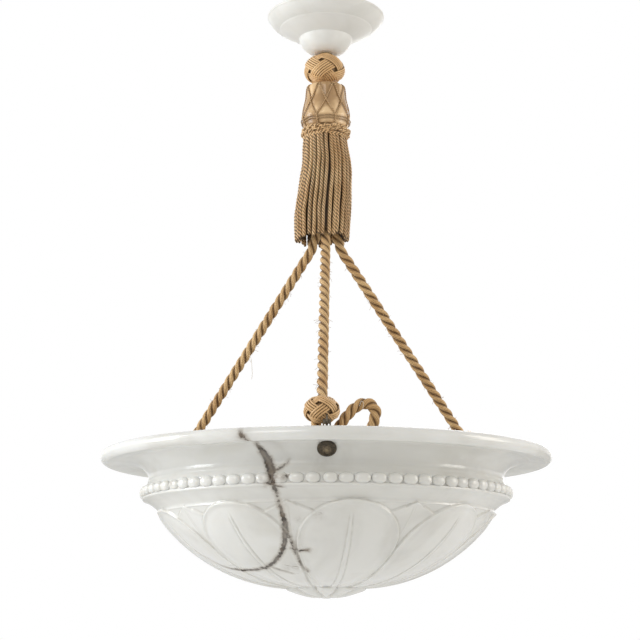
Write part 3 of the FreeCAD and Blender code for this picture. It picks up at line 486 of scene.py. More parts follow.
def metal(name, color, worn, roughness):
    p = Paint(name, color, roughness, 1.0)
    wear = p.noise(60.0, 5.0, 0.6, 0.4)
    p.set("Base Color", p.ramp(wear, (0.35, color), (0.68, worn)))
    p.set("Roughness", p.ramp(wear, (0.3, roughness - 0.1), (0.7, roughness + 0.15)))
    p.set("Normal", p.bump(p.noise(480.0, 3.0, 0.6), 0.15, 0.0003))
    return p.mat


def bronze():
    """Dark patina, rubbed brighter on the high places."""
    p = Paint("dark_bronze", (0.045, 0.038, 0.028), 0.42, 0.9)
    wear = p.noise(240.0, 5.0, 0.65, 0.5)
    high = p.ramp(p.attribute("height"), (0.25, 0.0), (0.95, 1.0))
    rubbed = p.times(high, p.ramp(wear, (0.3, 0.35), (0.6, 0.95)))
    tone = p.ramp(wear, (0.35, (0.055, 0.047, 0.037)), (0.66, (0.13, 0.105, 0.075)))
    p.set("Base Color", p.mix(rubbed, tone, (0.38, 0.30, 0.19)))
    p.set("Roughness", p.ramp(wear, (0.3, 0.30), (0.7, 0.55)))
    p.set("Normal", p.bump(p.noise(700.0, 3.0, 0.6), 0.25, 0.0003))
    return p.mat


# ---------------- camera and the rope's free end
def camera():
    """Stands a little below the bowl and looks up past it; metres."""
    data = bpy.data.cameras.new("camera")
    data.sensor_width = 36.0
    data.lens = 90.06
    cam = added("camera", data)
    cam.location = (-0.0074, -1.940, -0.7928)
    cam.rotation_euler = (radians(101.34), 0, 0)
    bpy.context.scene.camera = cam


# Control points of the tail: x, y and height over RIM_Z. It leaves the front knot downward,
# rises in a loop and runs down into the bowl and on to the terminal cup.
TAIL_R = 6.1
TAIL = [
    (-12, -200, 20), (-12, -198, 9), (-8.5, -194.5, 0.5), (1, -192.5, -1), (9, -191, 5),
    (14, -190, 19.5), (32, -187, 41.5), (46.5, -184, 45.5), (56, -180, 36.5), (50, -176, 18),
    (45, -162, -1), (39, -134, -7), (29, -90, -7), (19, -54, -5), (11.3, -30, -5),
    (5.5, -14.7, -5)]


def spline_points(points):
    """Points of the smooth NURBS line that has these as its control points."""
    curve = bpy.data.curves.new("route", "CURVE")
    curve.dimensions = "3D"
    curve.resolution_u = 24
    spline = curve.splines.new("NURBS")
    spline.points.add(len(points) - 1)
    for point, place in zip(spline.points, points):
        point.co = (*(MM * c for c in place), 1)
    spline.order_u = 3
    spline.use_endpoint_u = True
    holder = added("route", curve)
    mesh = bpy.data.meshes.new_from_object(holder)
    route = np.array([v.co[:] for v in mesh.vertices]) / MM
    bpy.data.objects.remove(holder)
    bpy.data.curves.remove(curve)
    bpy.data.meshes.remove(mesh)
    return route


def rope_tail(paint):
    path = resample(spline_points([(x, y, RIM_Z + h) for x, y, h in TAIL]), 1.0)
    share = np.linspace(0, 1, len(path))
    opened = 1 + 0.10 * bell(share - 0.34, 0.10)  # the lay opens a little in the loop
    parts = laid(path, TAIL_R, 3, 36.0, sides=14, fill=1.06, scale=opened)
    piece = make("rope_tail_strands", parts, paint, "cradle", ["rope_tail"])


# ---------------- ropes and knots
ROPE_R = 6.3
ROPE_OUT = 11.5  # distance from the axis at which the ropes leave their block
ROPE_BEND_Z = -300.2  # height at which they turn outward
CORD_R = 1.36  # one cord of a knot's band
KNOT_STEPS = 840
KNOT_LEADS = 5
KNOT_BIGHTS = 4
KNOT_LATITUDE = 1.15  # how far towards the poles the bands reach, in radians


def rope_path():
    """One rope in the plane y = 0, from its socket to inside its knot."""
    knot = np.array([KNOT_REACH, 0, RIM_Z + KNOT_RISE])
    bend = np.array([ROPE_OUT, 0, ROPE_BEND_Z])
    way = unit(knot - bend)
    above = [(ROPE_OUT, 0, z) for z in (-266, -276, -284)]
    past = [bend + way * d for d in (17, 30, 60)]
    return smooth_path(above + past + [knot - way * d for d in (120, 60, 6)], 1.2)


def rope(side, paint, start):
    path = around(rope_path(), AZIMUTHS[side] + KNOT_TURN)
    parts = laid(path, ROPE_R, 3, 41.0, start, sides=14, fill=1.05)
    parts += fibres(path[40:], ROPE_R, 90, seed=int(start * 10))
    make("rope_%s_strands" % side, parts, paint, "cradle", ["rope_" + side])


def ball_knot(radius, height, cords, lift, spin, wobble, seed):
    """Ball knot woven from a band of cords, round the origin.

    The band swings between the poles while it runs round, and rises and falls by lift where it
    crosses itself. spin turns the knot, and wobble makes it uneven.
    """
    rng = np.random.default_rng(seed)
    t = circle(KNOT_STEPS)
    squash = height / radius
    ripple = [(rng.normal() * wobble, k, rng.uniform(0, 2 * pi)) for k in (1, 2, 5)]
    lon = radians(spin) - KNOT_LEADS * t + sum(a * np.sin(k * t + f) for a, k, f in ripple)
    lat = (KNOT_LATITUDE * np.sin(KNOT_BIGHTS * t)
           + sum(0.7 * a * np.cos(k * t + f) for a, k, f in ripple))
    level = radius + lift * np.sin(4 * KNOT_BIGHTS * t)
    mid = polar(level * np.cos(lat), lon, level * squash * np.sin(lat))
    tangent = unit(np.roll(mid, -1, axis=0) - np.roll(mid, 1, axis=0))
    to_normal = 1 / np.array([1, 1, squash ** 2])
    side = unit(np.cross(tangent, unit(mid * to_normal)))
    parts = []
    for i in range(cords):
        off = (i - (cords - 1) / 2) * CORD_R * 2.02
        p = mid + side * off
        now = np.linalg.norm(p / np.array([1, 1, squash]), axis=1)
        want = level - 0.0875 * abs(off) / CORD_R  # a band is arched across
        p = p * (want / now)[:, None]
        thick = CORD_R * (1 + 0.05 * np.sin(3 * t + i))
        parts.append(tube(p, thick, 10, True, unit(p * to_normal), CORD_R))
    # a ball under the cords, painted partly in groove shade
    core = sphere(24, 40, 0.01) * (radius - 2.4) * np.array([1, 1, squash])
    return parts + [with_depth(grid(core), 0.35)]


def under_hanger(points):
    """Presses a knot's cords back where the hanger's tab stands in front of them."""
    x, y, z = points.T
    behind = ease(np.abs(y), 6.2, 4.9) * ease(z, RIM_Z + 23.4, RIM_Z + 22.6)
    x = np.where(behind > 0, np.minimum(x, 216.3 + (1 - behind) * 8), x)
    return np.stack([x, y, z], 1)


def knots(paint):
    for i, (side, spin) in enumerate((("front", 235), ("right", 262), ("left", 318))):
        parts = ball_knot(18.2, 13.8, 4, 1.5, spin, 0.035, seed=5 + i)
        for part in parts:
            points = around(part.points + (KNOT_REACH, 0, RIM_Z + KNOT_RISE), KNOT_TURN)
            part.points = around(under_hanger(points), AZIMUTHS[side])
        make("knot_%s_cords" % side, parts, paint, "cradle", ["knot_" + side])
    parts = ball_knot(24.2, 18.4, 6, 1.6, 145.5, 0.015, seed=2)
    for part in parts:
        part.points = part.points + (-1.5, 0, -78.6)
    make("top_knot_cords", parts, paint, "drop", ["top_knot"])


def fibres(path, radius, count, seed):
    """Fine stray fibres standing out of a rope's surface."""
    rng = np.random.default_rng(seed)
    tangent, side, up = frames_along(path)
    parts = []
    for k in rng.integers(4, len(path) - 4, count):
        a = rng.uniform(0, 2 * pi)
        out = side[k] * cos(a) + up[k] * sin(a)
        way = unit(out * rng.uniform(0.3, 1.0) + tangent[k] * rng.normal()
                   + np.cross(out, tangent[k]) * rng.normal())
        length = 7.0 * rng.uniform(0.35, 1.0)
        t = np.linspace(0, 1, 6)[:, None]
        sag = np.array([0, 0, -0.25 * length]) * t ** 2
        start = path[k] + out * (radius * 0.82)
        parts.append(with_depth(tube(start + way * length * t + sag, 0.16, 4), 1.0))
    return parts


def stray_threads(paint):
    """Two long pale threads that have worked loose, on the left rope and by the tail's loop."""
    places = [[(-97, 58, -437), (-94.6, 56, -443), (-93.6, 57, -452), (-93.0, 58, -461),
               (-93.8, 58, -468)],
              [(36.0, -193, -539), (38.0, -194.5, -534), (40.5, -194.5, -536),
               (39.5, -195, -543)]]
    parts = [with_depth(tube(smooth_path(place, 0.6), 0.32, 5), 1.0) for place in places]
    make("stray_threads", parts, paint, "cradle")


# ---------------- tassel
HEAD = [(5.3, -97.2), (18.0, -97.2), ((23.4, -99.6), (25.0, -104.2)), (25.4, -118.2),
        (31.2, -144.2), ((30.2, -150.7), (27.0, -157.2)), (21.0, -157.2), (21.0, -171.2),
        (5.3, -171.2), (5.3, -97.2)]  # (radius, height), closed
CROWN_Z = -126.0  # the head is lowered above this
NET_COLUMNS = 8
NET = [(-100.9, 0.5), (-126.0, 0.0), (-147.0, 0.5)]  # height, share of a column
NET_FOOT = -157.6
NET_RINGS = (-148.3, -151.4)


def lowered(profile):
    """The head's outline with its crown settled a little under the knot."""
    z = profile[:, 1]
    z = np.where(z > CROWN_Z, CROWN_Z + (z - CROWN_Z) * 0.885, z)
    return np.stack([profile[:, 0], z], 1)


def head_radius():
    """Radius of the head by height, for what lies on it."""
    profile = lowered(outline(*HEAD[1:6]))
    order = np.argsort(profile[:, 1])
    return lambda z: np.interp(z, profile[order, 1], profile[order, 0])


def net_lines():
    """Cords of the net as (azimuth, height) polylines."""
    step = 360.0 / NET_COLUMNS
    lines = []
    for i in range(NET_COLUMNS):
        for way in (-1, 1):
            lines.append([(-90 + step * (i + way * share), z) for z, share in NET])
        foot = -90 + step * (i + 0.5)
        lines.append([(foot, NET[-1][0]), (foot + 1.5, NET_FOOT)])
    return lines


def tassel_head(cloth, cord):
    """Satin that swells between the cords of its net, and the net."""
    radius = head_radius()
    profile = lowered(outline(*HEAD, step=0.7))
    a = circle(360)
    lines = net_lines()
    z = profile[:, 1:]
    r = profile[:, :1] + 0 * a
    near = np.full(r.shape, 99.0)  # distance to the nearest cord
    rings = [[(-90 + 11.25 * k, level) for k in range(33)] for level in NET_RINGS]
    for poly in lines + rings:
        for (a0, z0), (a1, z1) in zip(poly, poly[1:]):
            arm = DEG * radius((z0 + z1) / 2)
            dx, dz = wrapped(np.degrees(a) - a0) * arm, z - z0
            ex, ez = arm * (a1 - a0), z1 - z0
            t = np.clip((dx * ex + dz * ez) / (ex * ex + ez * ez), 0, 1)
            near = np.minimum(near, np.hypot(dx - ex * t, dz - ez * t))
    on_face = (z < -101.2) & (z > -157.1) & (r > 21.2)
    r = r + ((1 - bell(near, 4.5)) * 1.25 - 0.95) * on_face
    # crease: a narrow band beside each cord of the net, which satin_cloth paints as shade
    sheet = grid(polar(r, a, z), flip=True, crease=bell(near, 1.5) * on_face)
    make("tassel_head_cloth", [sheet], cloth, "drop", ["tassel_head"])

    def on_head(places, out):
        """(azimuth, height) places as points a little off the head's surface."""
        b, h = np.array(places, float).T
        return polar(radius(h) + out, DEG * b, h)

    parts = []
    for i, poly in enumerate(lines):
        nodes = np.array(poly)
        t = np.arange(12)[:, None] / 12
        steps = [p + (q - p) * t for p, q in zip(nodes, nodes[1:])] + [nodes[-1:]]
        path = resample(on_head(np.vstack(steps), 0.25), 0.6)
        parts += laid(path, 0.9, 2, 5.5, i, sides=6)
    for level, out in zip(NET_RINGS, (0.3, 0.4)):
        ring = [(-90 + 3.0 * k, level + 0.5 * sin(radians(3 * NET_COLUMNS * k + 40 * out)))
                for k in range(120)]
        parts += laid(on_head(ring, out), 0.85, 2, 5.0, sides=6, closed=True)
    make("tassel_net", parts, cord, "drop")


def tassel_collar(paint):
    """Turns of twisted cord, with a row of small loops wound through them."""
    turns = [(-160.4, 28.2, 1.3, 5, 0.3, 2.0), (-165.0, 28.0, 1.2, 6, 1.4, 2.0),
             (-162.9, 29.5, 2.9, 9, 0.0, 1.75), (-163.1, 29.5, 2.9, 9, pi, 1.75),
             (-169.2, 27.0, 0.7, 4, 2.0, 2.0)]
    parts = []
    t = circle(260)
    for level, radius, swing, waves, start, cord_r in turns:
        r = radius + 0.6 * np.sin(waves * t * 2 + start)
        path = polar(r, t, level + swing * np.sin(waves * t + start))
        parts += laid(path, cord_r, 2, 9.0, start, sides=8, closed=True)
    make("tassel_collar", parts, paint, "drop", ["tassel_winding"])


# Height, shift to the right, and radius of the circle on which the skirt's outer cords hang
SKIRT_AXIS = [(-168.0, -1.0, 25.6), (-181.5, -0.6, 27.0), (-207.0, 1.2, 30.0),
              (-245.0, -2.0, 32.8), (-267.0, -4.0, 33.8), (-303.5, -5.0, 32.8)]
SKIRT_TOP = -167.0
SKIRT_FOOT = -302.2
SKIRT_NODES = 9


def skirt_place(z, azimuth, inset):
    """Point of the skirt, inset from the outer cords' circle."""
    levels, shifts, radii = np.array(SKIRT_AXIS)[::-1].T
    points = polar(np.interp(z, levels, radii) - inset, azimuth, z)
    points[..., 0] += np.interp(z, levels, shifts)
    return points


def tassel_skirt(paint):
    """Two rows of hanging twisted cords, the inner row darker with painted shade, and a dark
    sheet inside them, painted shade that shuts the gaps.
    """
    rng = np.random.default_rng(11)
    parts = []
    for row, (count, inset, radius, inner_row_shade) in enumerate(((33, 0.0, 2.3, 0.0),
                                                        (27, 4.0, 2.25, 0.55))):
        for i in range(count):
            base = 2 * pi * (i + 0.5 * row) / count + rng.normal() * 0.020
            foot = SKIRT_FOOT + rng.normal() * 1.6 + row * 2.5
            z = np.linspace(SKIRT_TOP, foot, SKIRT_NODES)
            drift = rng.normal() * 0.03 * np.linspace(0, 1, SKIRT_NODES)
            wave = rng.normal(size=SKIRT_NODES).cumsum() * 0.010
            depth = inset + np.abs(rng.normal(size=SKIRT_NODES)) * 0.7
            path = smooth_path(skirt_place(z, base + drift + wave, depth), 0.75)
            size = radius * (1 + 0.05 * rng.normal())
            taper = 1 - 0.45 * ease(np.linspace(0, 1, len(path)), 0.985, 1.0)
            strands = laid(path, size, 3, 13.0 + 0.6 * rng.normal(), rng.uniform(0, 6), sides=8,
                           scale=taper)
            # each cord's groove shade shifted a little at random, the inner row much darker:
            # painted shade
            shade = rng.uniform(-0.12, 0.12) - inner_row_shade
            for strand in strands:
                strand.values["depth"] = strand.values["depth"] + shade
            parts += strands
    # a sheet inside the cords, all painted in groove shade, that shuts the gaps
    z, a = np.meshgrid(np.linspace(-169.0, -291.0, 60), circle(48), indexing="ij")
    parts.append(with_depth(grid(skirt_place(z, a, 6.6), flip=True), -1.0))
    make("tassel_skirt_cords", parts, paint, "drop", ["tassel_skirt"])


# ---------------- bowl
# Heights here are counted from RIM_Z. The body is what carries the leaves, from the cove under
# the beads down to the rosette.
BODY_TOP = (203.1, -65.5)
GROUND_TOP = (202.5, -62.0)
BODY_LENGTH = 187.0
ROSE_EDGE = (48.0, -151.5)
BEAD_Z = -41.0
BEAD_OUT = 219.4
BEADS = 76
BROKEN_BEAD = -51.6  # phi of a bead that is worn down
LEAVES = [-33.2, 8.3, 50.5] + [50.5 + 276.3 / 7 * k for k in range(1, 7)]  # their phi
LEAF_BELLY = 50.5  # way down the body to the widest place of a leaf
LEAF_RISE = 50.0  # height of its round top above that
GROUND_DEPTH = 2.4  # how far the ground is cut back
BOWL_COLUMNS = 1080
LINING_COLUMNS = 360
BOLT_DIR = np.array([cos(radians(45)), 0, -sin(radians(45))])
BOLT_MID = np.array([218.0, 0, RIM_Z - 4.5])
BOLT_SEAT, NUT_SEAT = 7.0, -6.5  # flat seats, along BOLT_DIR from BOLT_MID
FAR = 40.0  # distance to a vein where there is none

# Veins: (phi, radius, level, half width) of each node, joined by straight lines.
# Hairlines are set down in the same way.
VEINS = [
    [(-20, 266, 7, 0.9), (-19.5, 271.5, 0.5, 1.6), (-18.2, 267, -5.6, 1.3),
     (-18.6, 246, -4.2, 2.2), (-19.3, 229, -7, 2.2), (-18.4, 219.9, -12.9, 4),
     (-17.1, 214.2, -24, 4.5), (-15.8, 218.2, -34.5, 4.3), (-15.2, 222, -43.5, 3.2),
     (-15.3, 213.4, -52.6, 2.2), (-15.2, 202.8, -63.5, 2), (-14.7, 197.6, -72.9, 1.8),
     (-14.5, 187.3, -85, 2.7), (-14.6, 178.3, -94.2, 3.4), (-16.4, 164.5, -106.4, 2.3),
     (-19.4, 150.7, -116.6, 1.9), (-25.4, 136.1, -125.6, 2.2), (-31.5, 126.8, -130.4, 2.4),
     (-42, 121.3, -133.1, 2.1), (-54.4, 120.8, -133.3, 1.9), (-60.8, 126.3, -130.7, 1.5),
     (-65.6, 135.5, -125.9, 1.1), (-71.1, 160.6, -109.4, 0.5)],
    [(-15.6, 218.2, -34.5, 1.4), (-13.4, 215.3, -30, 0.6), (-12, 214.5, -26, 0.1),
     (-10.8, 214.3, -20.6, -0.9)],
    [(-14.6, 178.3, -94.2, 1.2), (-13.6, 164, -106.7, 1), (-13.4, 148.6, -117.9, 0.9),
     (-12.7, 127.4, -130.1, 1), (-10.8, 114, -136.2, 0.8)],
    [(-14.2, 156, -113, 0.8), (-11.7, 152.7, -115.2, 0.9), (-7.9, 153.2, -114.8, 0.9),
     (-7, 155, -113.6, 0.3)],
    [(-17.8, 219.5, -38, 0.3), (-15, 223, -40, 1.2), (-12.2, 223.5, -40.5, 1.1),
     (-10.6, 220, -39, 0.4)],
    [(-18, 221, -45.5, 0.1), (-16, 221, -47.5, 1), (-14, 219, -50.2, 1.1),
     (-12.2, 217, -52.2, 0.1)],
    [(-30, 126.8, -130.4, 0.8), (-24.5, 117.4, -134.8, 0.7), (-20.6, 109.4, -138.1, 0.2)]]
HAIRS = [
    [(-13.9, 202.8, -63.5, 0.2), (-9.8, 202.8, -64, 0.2), (-5.1, 197.2, -73.3, 0.3),
     (-1.6, 193.7, -77.6, 0.1)],
    [(-38, 128, -129.5, 0.3), (-30, 118, -134, 0.3), (-22, 103, -140, 0.2)],
    [(-22, 128, -129.5, 0.4), (-18, 122, -132.6, 0.6), (-14.5, 118, -134, 0.4)],
    [(-26, 136, -125.6, 0.3), (-20, 128, -130, 0.6), (-16, 124, -131.5, 0.7),
     (-12, 122, -132.5, 0.2)],
    [(-34, 127, -130.2, 0.5), (-27, 120, -133.5, 0.5), (-17, 108, -138.6, 0.3)],
    [(-52, 112, -136.5, 0.2), (-38, 108, -138, 0.3), (-28, 100, -141, 0.1)],
    [(-13.2, 187, -85, 0.2), (-11, 172, -100, 0.3), (-9.8, 158, -111.5, 0.1)],
    [(-12.5, 270, 5, 0.2), (-12.2, 271, -2, 0.1)],
    [(-7.2, 270, 4.5, 0.2), (-5.9, 270.5, 1.5, 0.1)],
    [(-64, 150, -117, 0.3), (-58, 132, -128, 0.3), (-49, 126, -131, 0.2)],
    [(118, 214, -26, 0.4), (121, 216, -36, 0.3), (124, 200, -68, 0.4), (129, 176, -97, 0.3),
     (127, 150, -117, 0.1)],
    [(-128, 272, 0, 0.3), (-126, 236, -5, 0.3), (-127, 214, -24, 0.3), (-131, 219, -40, 0.2)]]
# Brown stains, the first of them a painted shadow under the front bolt's head: (phi, radius,
# level, size, strength)
STAINS_AND_SHADOW = [
    (-2, 214.5, -22, 13, 0.1), (-19.5, 271, 0, 7, 0.5), (-2.6, 192, -80, 6, 0.35),
    (-9.6, 188, -84, 4.5, 0.35), (-7.9, 153.2, -114.8, 5, 0.6), (-17, 125, -131, 9, 0.25),
    (-15.5, 222, -41, 7, 0.75), (-18.5, 221, -42, 4.5, 0.5), (-12.8, 221, -43, 4.5, 0.5),
    (-14.5, 219, -50, 5.5, 0.7), (-17.8, 219, -49.6, 4, 0.45), (-51.6, 224, -39.5, 3.4, 0.9),
    (-14.6, 200, -68, 6, 0.35), (-13, 160, -109, 7, 0.3), (-15, 119, -134, 8, 0.35),
    (-21, 122, -132.5, 6, 0.3)]


def place(phi, radius, level):
    """Points at phi degrees right of the front, on a radius and at a level over RIM_Z."""
    return polar(radius, DEG * phi - pi / 2, RIM_Z + level)


def bowl_outside():
    """Outer profile from the lip's inner edge to the centre below."""
    return outline(
        (256.0, 8.5), (262.0, 8.5), ((272.0, 0.5), (264.5, -6.2)),  # lip
        ((254.5, -4.0), (244.5, -3.4)), ((222.6, -9.2), (214.0, -21.0)),  # and neck
        ((214.9, -28.0), (218.3, BEAD_Z + 6.5)), (219.3, BEAD_Z + 5.0),  # bead seat
        (219.3, BEAD_Z - 5.0), (221.0, BEAD_Z - 5.6), (221.0, -49.0), (218.5, -50.0),
        ((207.5, -56.5), GROUND_TOP), BODY_TOP, ((150.0, -117.0), ROSE_EDGE),  # cove and body
        (46.0, -153.5), ((31.2, -159.0), (9.0, -162.5)), (0.05, -162.5), step=0.95)


def bowl_inside():
    """Inner profile from the centre to the lip's inner edge; the wall is 13 mm thick halfway."""
    middle = np.array([150.0, -117.0]) + np.array([-0.72, 0.70]) * 13.0
    return outline((0.05, -141.5), (46.0, -139.5), (tuple(middle), (191.0, -62.0)),
                   (200.5, -41.0), (203.5, -18.0), ((213.0, 0.5), (232.0, 7.2)), (256.0, 8.5),
                   step=2.4)


def leaf_relief(phi, r, v):
    """Height of the carving above the ground, and how near an incised edge is, where the paint
    puts shade.

    v is the way down the body from its top."""
    height = np.zeros_like(r)
    crease = np.zeros_like(r)
    centres = sorted(wrapped(c) for c in LEAVES)
    gaps = [(b - a) % 360 for a, b in zip(centres, centres[1:] + centres[:1])]
    for centre, gap in zip(centres, gaps):
        # the pointed leaf behind, between this leaf and the next
        x = DEG * wrapped(phi - centre - gap / 2) * r
        near = (np.abs(x) < 44) & (v > -4)
        inside = (v - 1.5 - 0.52 * np.abs(x) - 0.012 * x * x * (np.abs(x) < 12)) * 0.88
        small = ease(inside, -0.6, 0.6) * near
        along = ease(v, 4, 14) * ease(v, 120, 80) * near
        lean = x + 0.06 * v
        height = np.maximum(height, small * (2.0 - 0.5 * ease(inside, 1, 7)))
        height = height + 0.45 * bell(lean, 1.1) * along * small
        crease = np.maximum(crease, bell(inside + 0.6, 0.8) * near)
        crease = np.maximum(crease, 0.55 * bell(np.abs(lean) - 1.5, 0.6) * along)
    for i, centre in enumerate(centres):
        # the broad leaf in front: an ellipse above its belly, and sides that close in below
        off = wrapped(phi - centre)
        x = DEG * off * r
        near = np.abs(off) < 30
        half = np.where(off < 0, gaps[i - 1], gaps[i]) / 2 * 0.985
        shares = np.interp(v, [50, 70, 100, 130, 160, BODY_LENGTH],
                           [0.945, 1.0, 1.0, 0.965, 0.87, 0.74])
        to_side = (shares * half - np.abs(off)) * DEG * r
        width = 0.945 * half * DEG * 170.0
        e = np.hypot(x / width, (v - LEAF_BELLY) / LEAF_RISE)
        grad = np.hypot(x / width ** 2, (v - LEAF_BELLY) / LEAF_RISE ** 2) / np.maximum(e, 1e-6)
        to_top = (1 - e) / np.maximum(grad, 1e-6)
        inside = np.where(v < LEAF_BELLY, to_top, to_side)
        big = ease(inside, -1.0, 0.8) * near
        # a rolled edge, a shallow dish within it, and a rib with a groove on each side
        roll = 0.55 * bell(inside - 1.4, 1.1) - 0.45 * bell(inside - 6.5, 4.0)
        rib_w = np.interp(v, [14, 60, BODY_LENGTH], [0.7, 2.0, 2.9])
        lean = np.abs(x - 0.012 * (v - 90))
        rib = ease(lean, rib_w + 0.7, rib_w - 0.4) * ease(v, 12, 26)
        side = bell(lean - rib_w - 1.0, 0.8) * ease(v, 12, 26)
        leaf = 2.9 + roll + 0.54 * ease(inside, 6, 30) + 0.55 * rib - 0.45 * side
        over = np.maximum(height * (1 - big) + leaf * big, height * (inside < 0))
        height = np.where(big > 0, over, height)
        crease = crease * (1 - ease(inside, -0.5, 1.5) * near)
        crease = np.maximum(crease, bell(inside + 0.9, 0.9) * near)
        crease = np.maximum(crease, 0.75 * side * big)
    return height, crease


def nearest(points, lines):
    """Signed distance in mm from each point to the edge of the nearest line."""
    best = np.full(points.shape[:-1], FAR)
    for poly in lines:
        phi, radius, level, half = np.array(poly).T
        nodes = place(phi, radius, level)
        for a, b, wa, wb in zip(nodes, nodes[1:], half, half[1:]):
            ab = b - a
            t = np.clip((points - a) @ ab / ab.dot(ab), 0, 1)
            away = np.linalg.norm(points - a - ab * t[..., None], axis=-1)
            best = np.minimum(best, away - (wa + (wb - wa) * t))
    return best


def stains_and_shadow(points):
    """Strength of the brown stains and of the painted shadow under the front bolt at each point.
    """
    stain = np.zeros(points.shape[:-1])
    for phi, radius, level, size, power in STAINS_AND_SHADOW:
        away = np.linalg.norm(points - place(phi, radius, level), axis=-1)
        stain = np.maximum(stain, power * bell(away, size))
    return stain


def flat_seats(points, depth, radius, outward):
    """Cuts the flat seats of the bolts into a sheet of points, at a depth along each bolt."""
    seat = BOLT_MID + BOLT_DIR * depth
    for azimuth in AZIMUTHS.values():
        q = around(points, -azimuth) - seat
        along = (q @ BOLT_DIR)[..., None]
        across = np.linalg.norm(q - along * BOLT_DIR, axis=-1)[..., None]
        out = along * outward
        cut = ease(across, radius + 1.2, radius) * (out > 0) * (out < 20)
        points = around(q - along * cut * BOLT_DIR + seat, azimuth)
    return points


def turned(profile, columns):
    """Sheets of phi, radius and level for a profile turned about the axis."""
    phi = np.linspace(-180, 180, columns, endpoint=False) + 0 * profile[:, :1]
    return phi, profile[:, :1] + 0 * phi, profile[:, 1:] + 0 * phi


def bowl_sheet():
    """The carved outside, with its veins, its stains and the painted shadow under the front bolt,
    and its creases, which are painted as shade.
    """
    profile = bowl_outside()
    phi, r, z = turned(profile, BOWL_COLUMNS)
    tangent = unit(np.gradient(profile, axis=0))
    s = lengths(profile)
    top = np.argmin(np.hypot(*(profile - GROUND_TOP).T))
    rose = s[np.argmin(np.hypot(*(profile - ROSE_EDGE).T))] - s[top]
    v = (s - s[top])[:, None] + 0 * phi
    height, crease = leaf_relief(phi, np.maximum(r, 1), v)
    above = ease(v, rose + 0.5, rose - 3.0)
    body = ease(v, -1.5, 1.0) * above
    lift = height * body - GROUND_DEPTH * ease(v, -8.0, 9.0) * above
    crease = crease * body * ease(v, -2, 0)
    # the rosette: petals round a boss, their ends standing out
    inner = ease(v, rose - 0.5, rose + 1.5)
    petal = np.abs(np.cos(DEG * phi * 5))
    boss = ease(r, 14.0, 10.0)
    lift = lift + ((3.6 * petal ** 0.8 - 2.6) * (1 - boss) + (1.6 - 0.02 * r ** 2) * boss) * inner
    # painted shade between the rosette's petals
    crease = np.maximum(crease, inner * 0.8 * (1 - petal) ** 3 * (1 - boss))
    # the turned line in the neck
    lift = lift + 0.35 * bell(z + 27.5, 0.9) * (r > 212) * (r < 217)
    scallop = inner * ease(v, rose + 14, rose + 2) * (5.2 * petal ** 0.8 - 3.4)
    points = place(phi, r - lift * tangent[:, 1:] + scallop, z + lift * tangent[:, :1])
    points = flat_seats(points, BOLT_SEAT, 11.2, 1)
    return grid(points, vein=nearest(points, VEINS), hair=nearest(points, HAIRS),
                stain=stains_and_shadow(points), crease=crease)


def lining_sheet():
    """The plain inside."""
    sheet = place(*turned(bowl_inside(), LINING_COLUMNS))
    points = flat_seats(sheet, NUT_SEAT, 11.0, -1)
    return grid(points, vein=nearest(points, VEINS[:1]) + 1.0, hair=nearest(points, []))


def beads():
    """A row of beads, each a little different as carved by hand."""
    rng = np.random.default_rng(3)
    ball = sphere(13, 20, 0.02)[..., [0, 2, 1]]  # its poles to left and right
    parts = []
    for i in range(BEADS):
        phi = 360.0 / BEADS * (i + 0.16) + rng.normal() * 0.10
        wide, high, deep = (8.6 + rng.normal() * 0.2, 6.15 + rng.normal() * 0.12,
                            5.5 + rng.normal() * 0.2)
        if abs(wrapped(phi - BROKEN_BEAD)) < 2.4:
            deep, high = 4.2, 5.3
        size = np.array([deep, wide, high])
        bead = np.sign(ball) * np.abs(ball * size) ** 0.86 * size ** 0.14  # squarish
        bead = bead + np.array([BEAD_OUT, 0, RIM_Z + BEAD_Z])
        points = around(bead, phi - 90)
        parts.append(grid(points, vein=nearest(points, VEINS), hair=nearest(points, []),
                          stain=stains_and_shadow(points)))
    return parts


def bowl(paint):
    parts = [bowl_sheet(), lining_sheet()] + beads()
    make("bowl_carved", parts, paint, "cradle", ["bowl"])


# ---------------- bolts' heads
BOLT_RELIEF = 1.1  # greatest height of the relief


def bolt_faces(paint):
    """Worn relief on the bolts' heads: a rim, small beads and a plain six-petalled flower."""
    radius, angle = np.meshgrid(np.linspace(0.02, 10.2, 44), circle(96), indexing="ij")
    dome = 3.0 - 1.25 * (radius / 10.5) ** 2.6
    rim = 0.45 * bell(radius - 9.1, 0.6)
    dots = 0.28 * bell(radius - 7.6, 0.55) * (0.5 + 0.5 * np.cos(angle * 22))
    petals = 6.0 * (0.62 + 0.38 * np.abs(np.cos(3 * angle)))
    flower = 0.6 * ease(petals - radius, -0.3, 0.9)
    parting = (-0.3 * bell(np.abs(np.sin(3 * angle)) * radius, 0.5)
               * ease(radius, 1.6, 2.4) * ease(radius, 6.0, 5.0))
    relief = rim + dots + flower + parting + 0.35 * ease(radius, 2.0, 1.5)
    level = np.where(radius > 9.9, dome - 0.35, dome + relief + 0.06)
    axes = np.array([[-BOLT_DIR[2], 0, BOLT_DIR[0]], [0, 1, 0], BOLT_DIR])
    points = polar(radius, angle, level) @ axes + BOLT_MID + BOLT_DIR * (BOLT_SEAT + 0.8)
    parts = [grid(around(points, azimuth), height=relief / BOLT_RELIEF)
             for azimuth in AZIMUTHS.values()]
    make("bolt_faces", parts, paint, "cradle")


# ---------------- floor, world and lamps; metres
FLOOR = [(-30, -30, -1.15), (30, -30, -1.15), (30, 30, -1.15), (-30, 30, -1.15)]
AIM = (0, 0, -0.5)
SOFTBOXES = {  # place, width, height, watts, colour
    "left": ((-2.1, -0.25, -0.05), 0.7, 1.4, 25.0, (0.94, 0.97, 1.0)),
    "right": ((2.1, -0.25, -0.05), 0.7, 1.4, 15.5, (1.0, 0.95, 0.88)),
    "front": ((-1.0, -2.4, 0.5), 1.0, 1.0, 15.0, (1.0, 0.98, 0.95)),
    "back": ((0.3, 2.0, 0.2), 1.2, 1.2, 8.0, (1.0, 1.0, 1.0))}


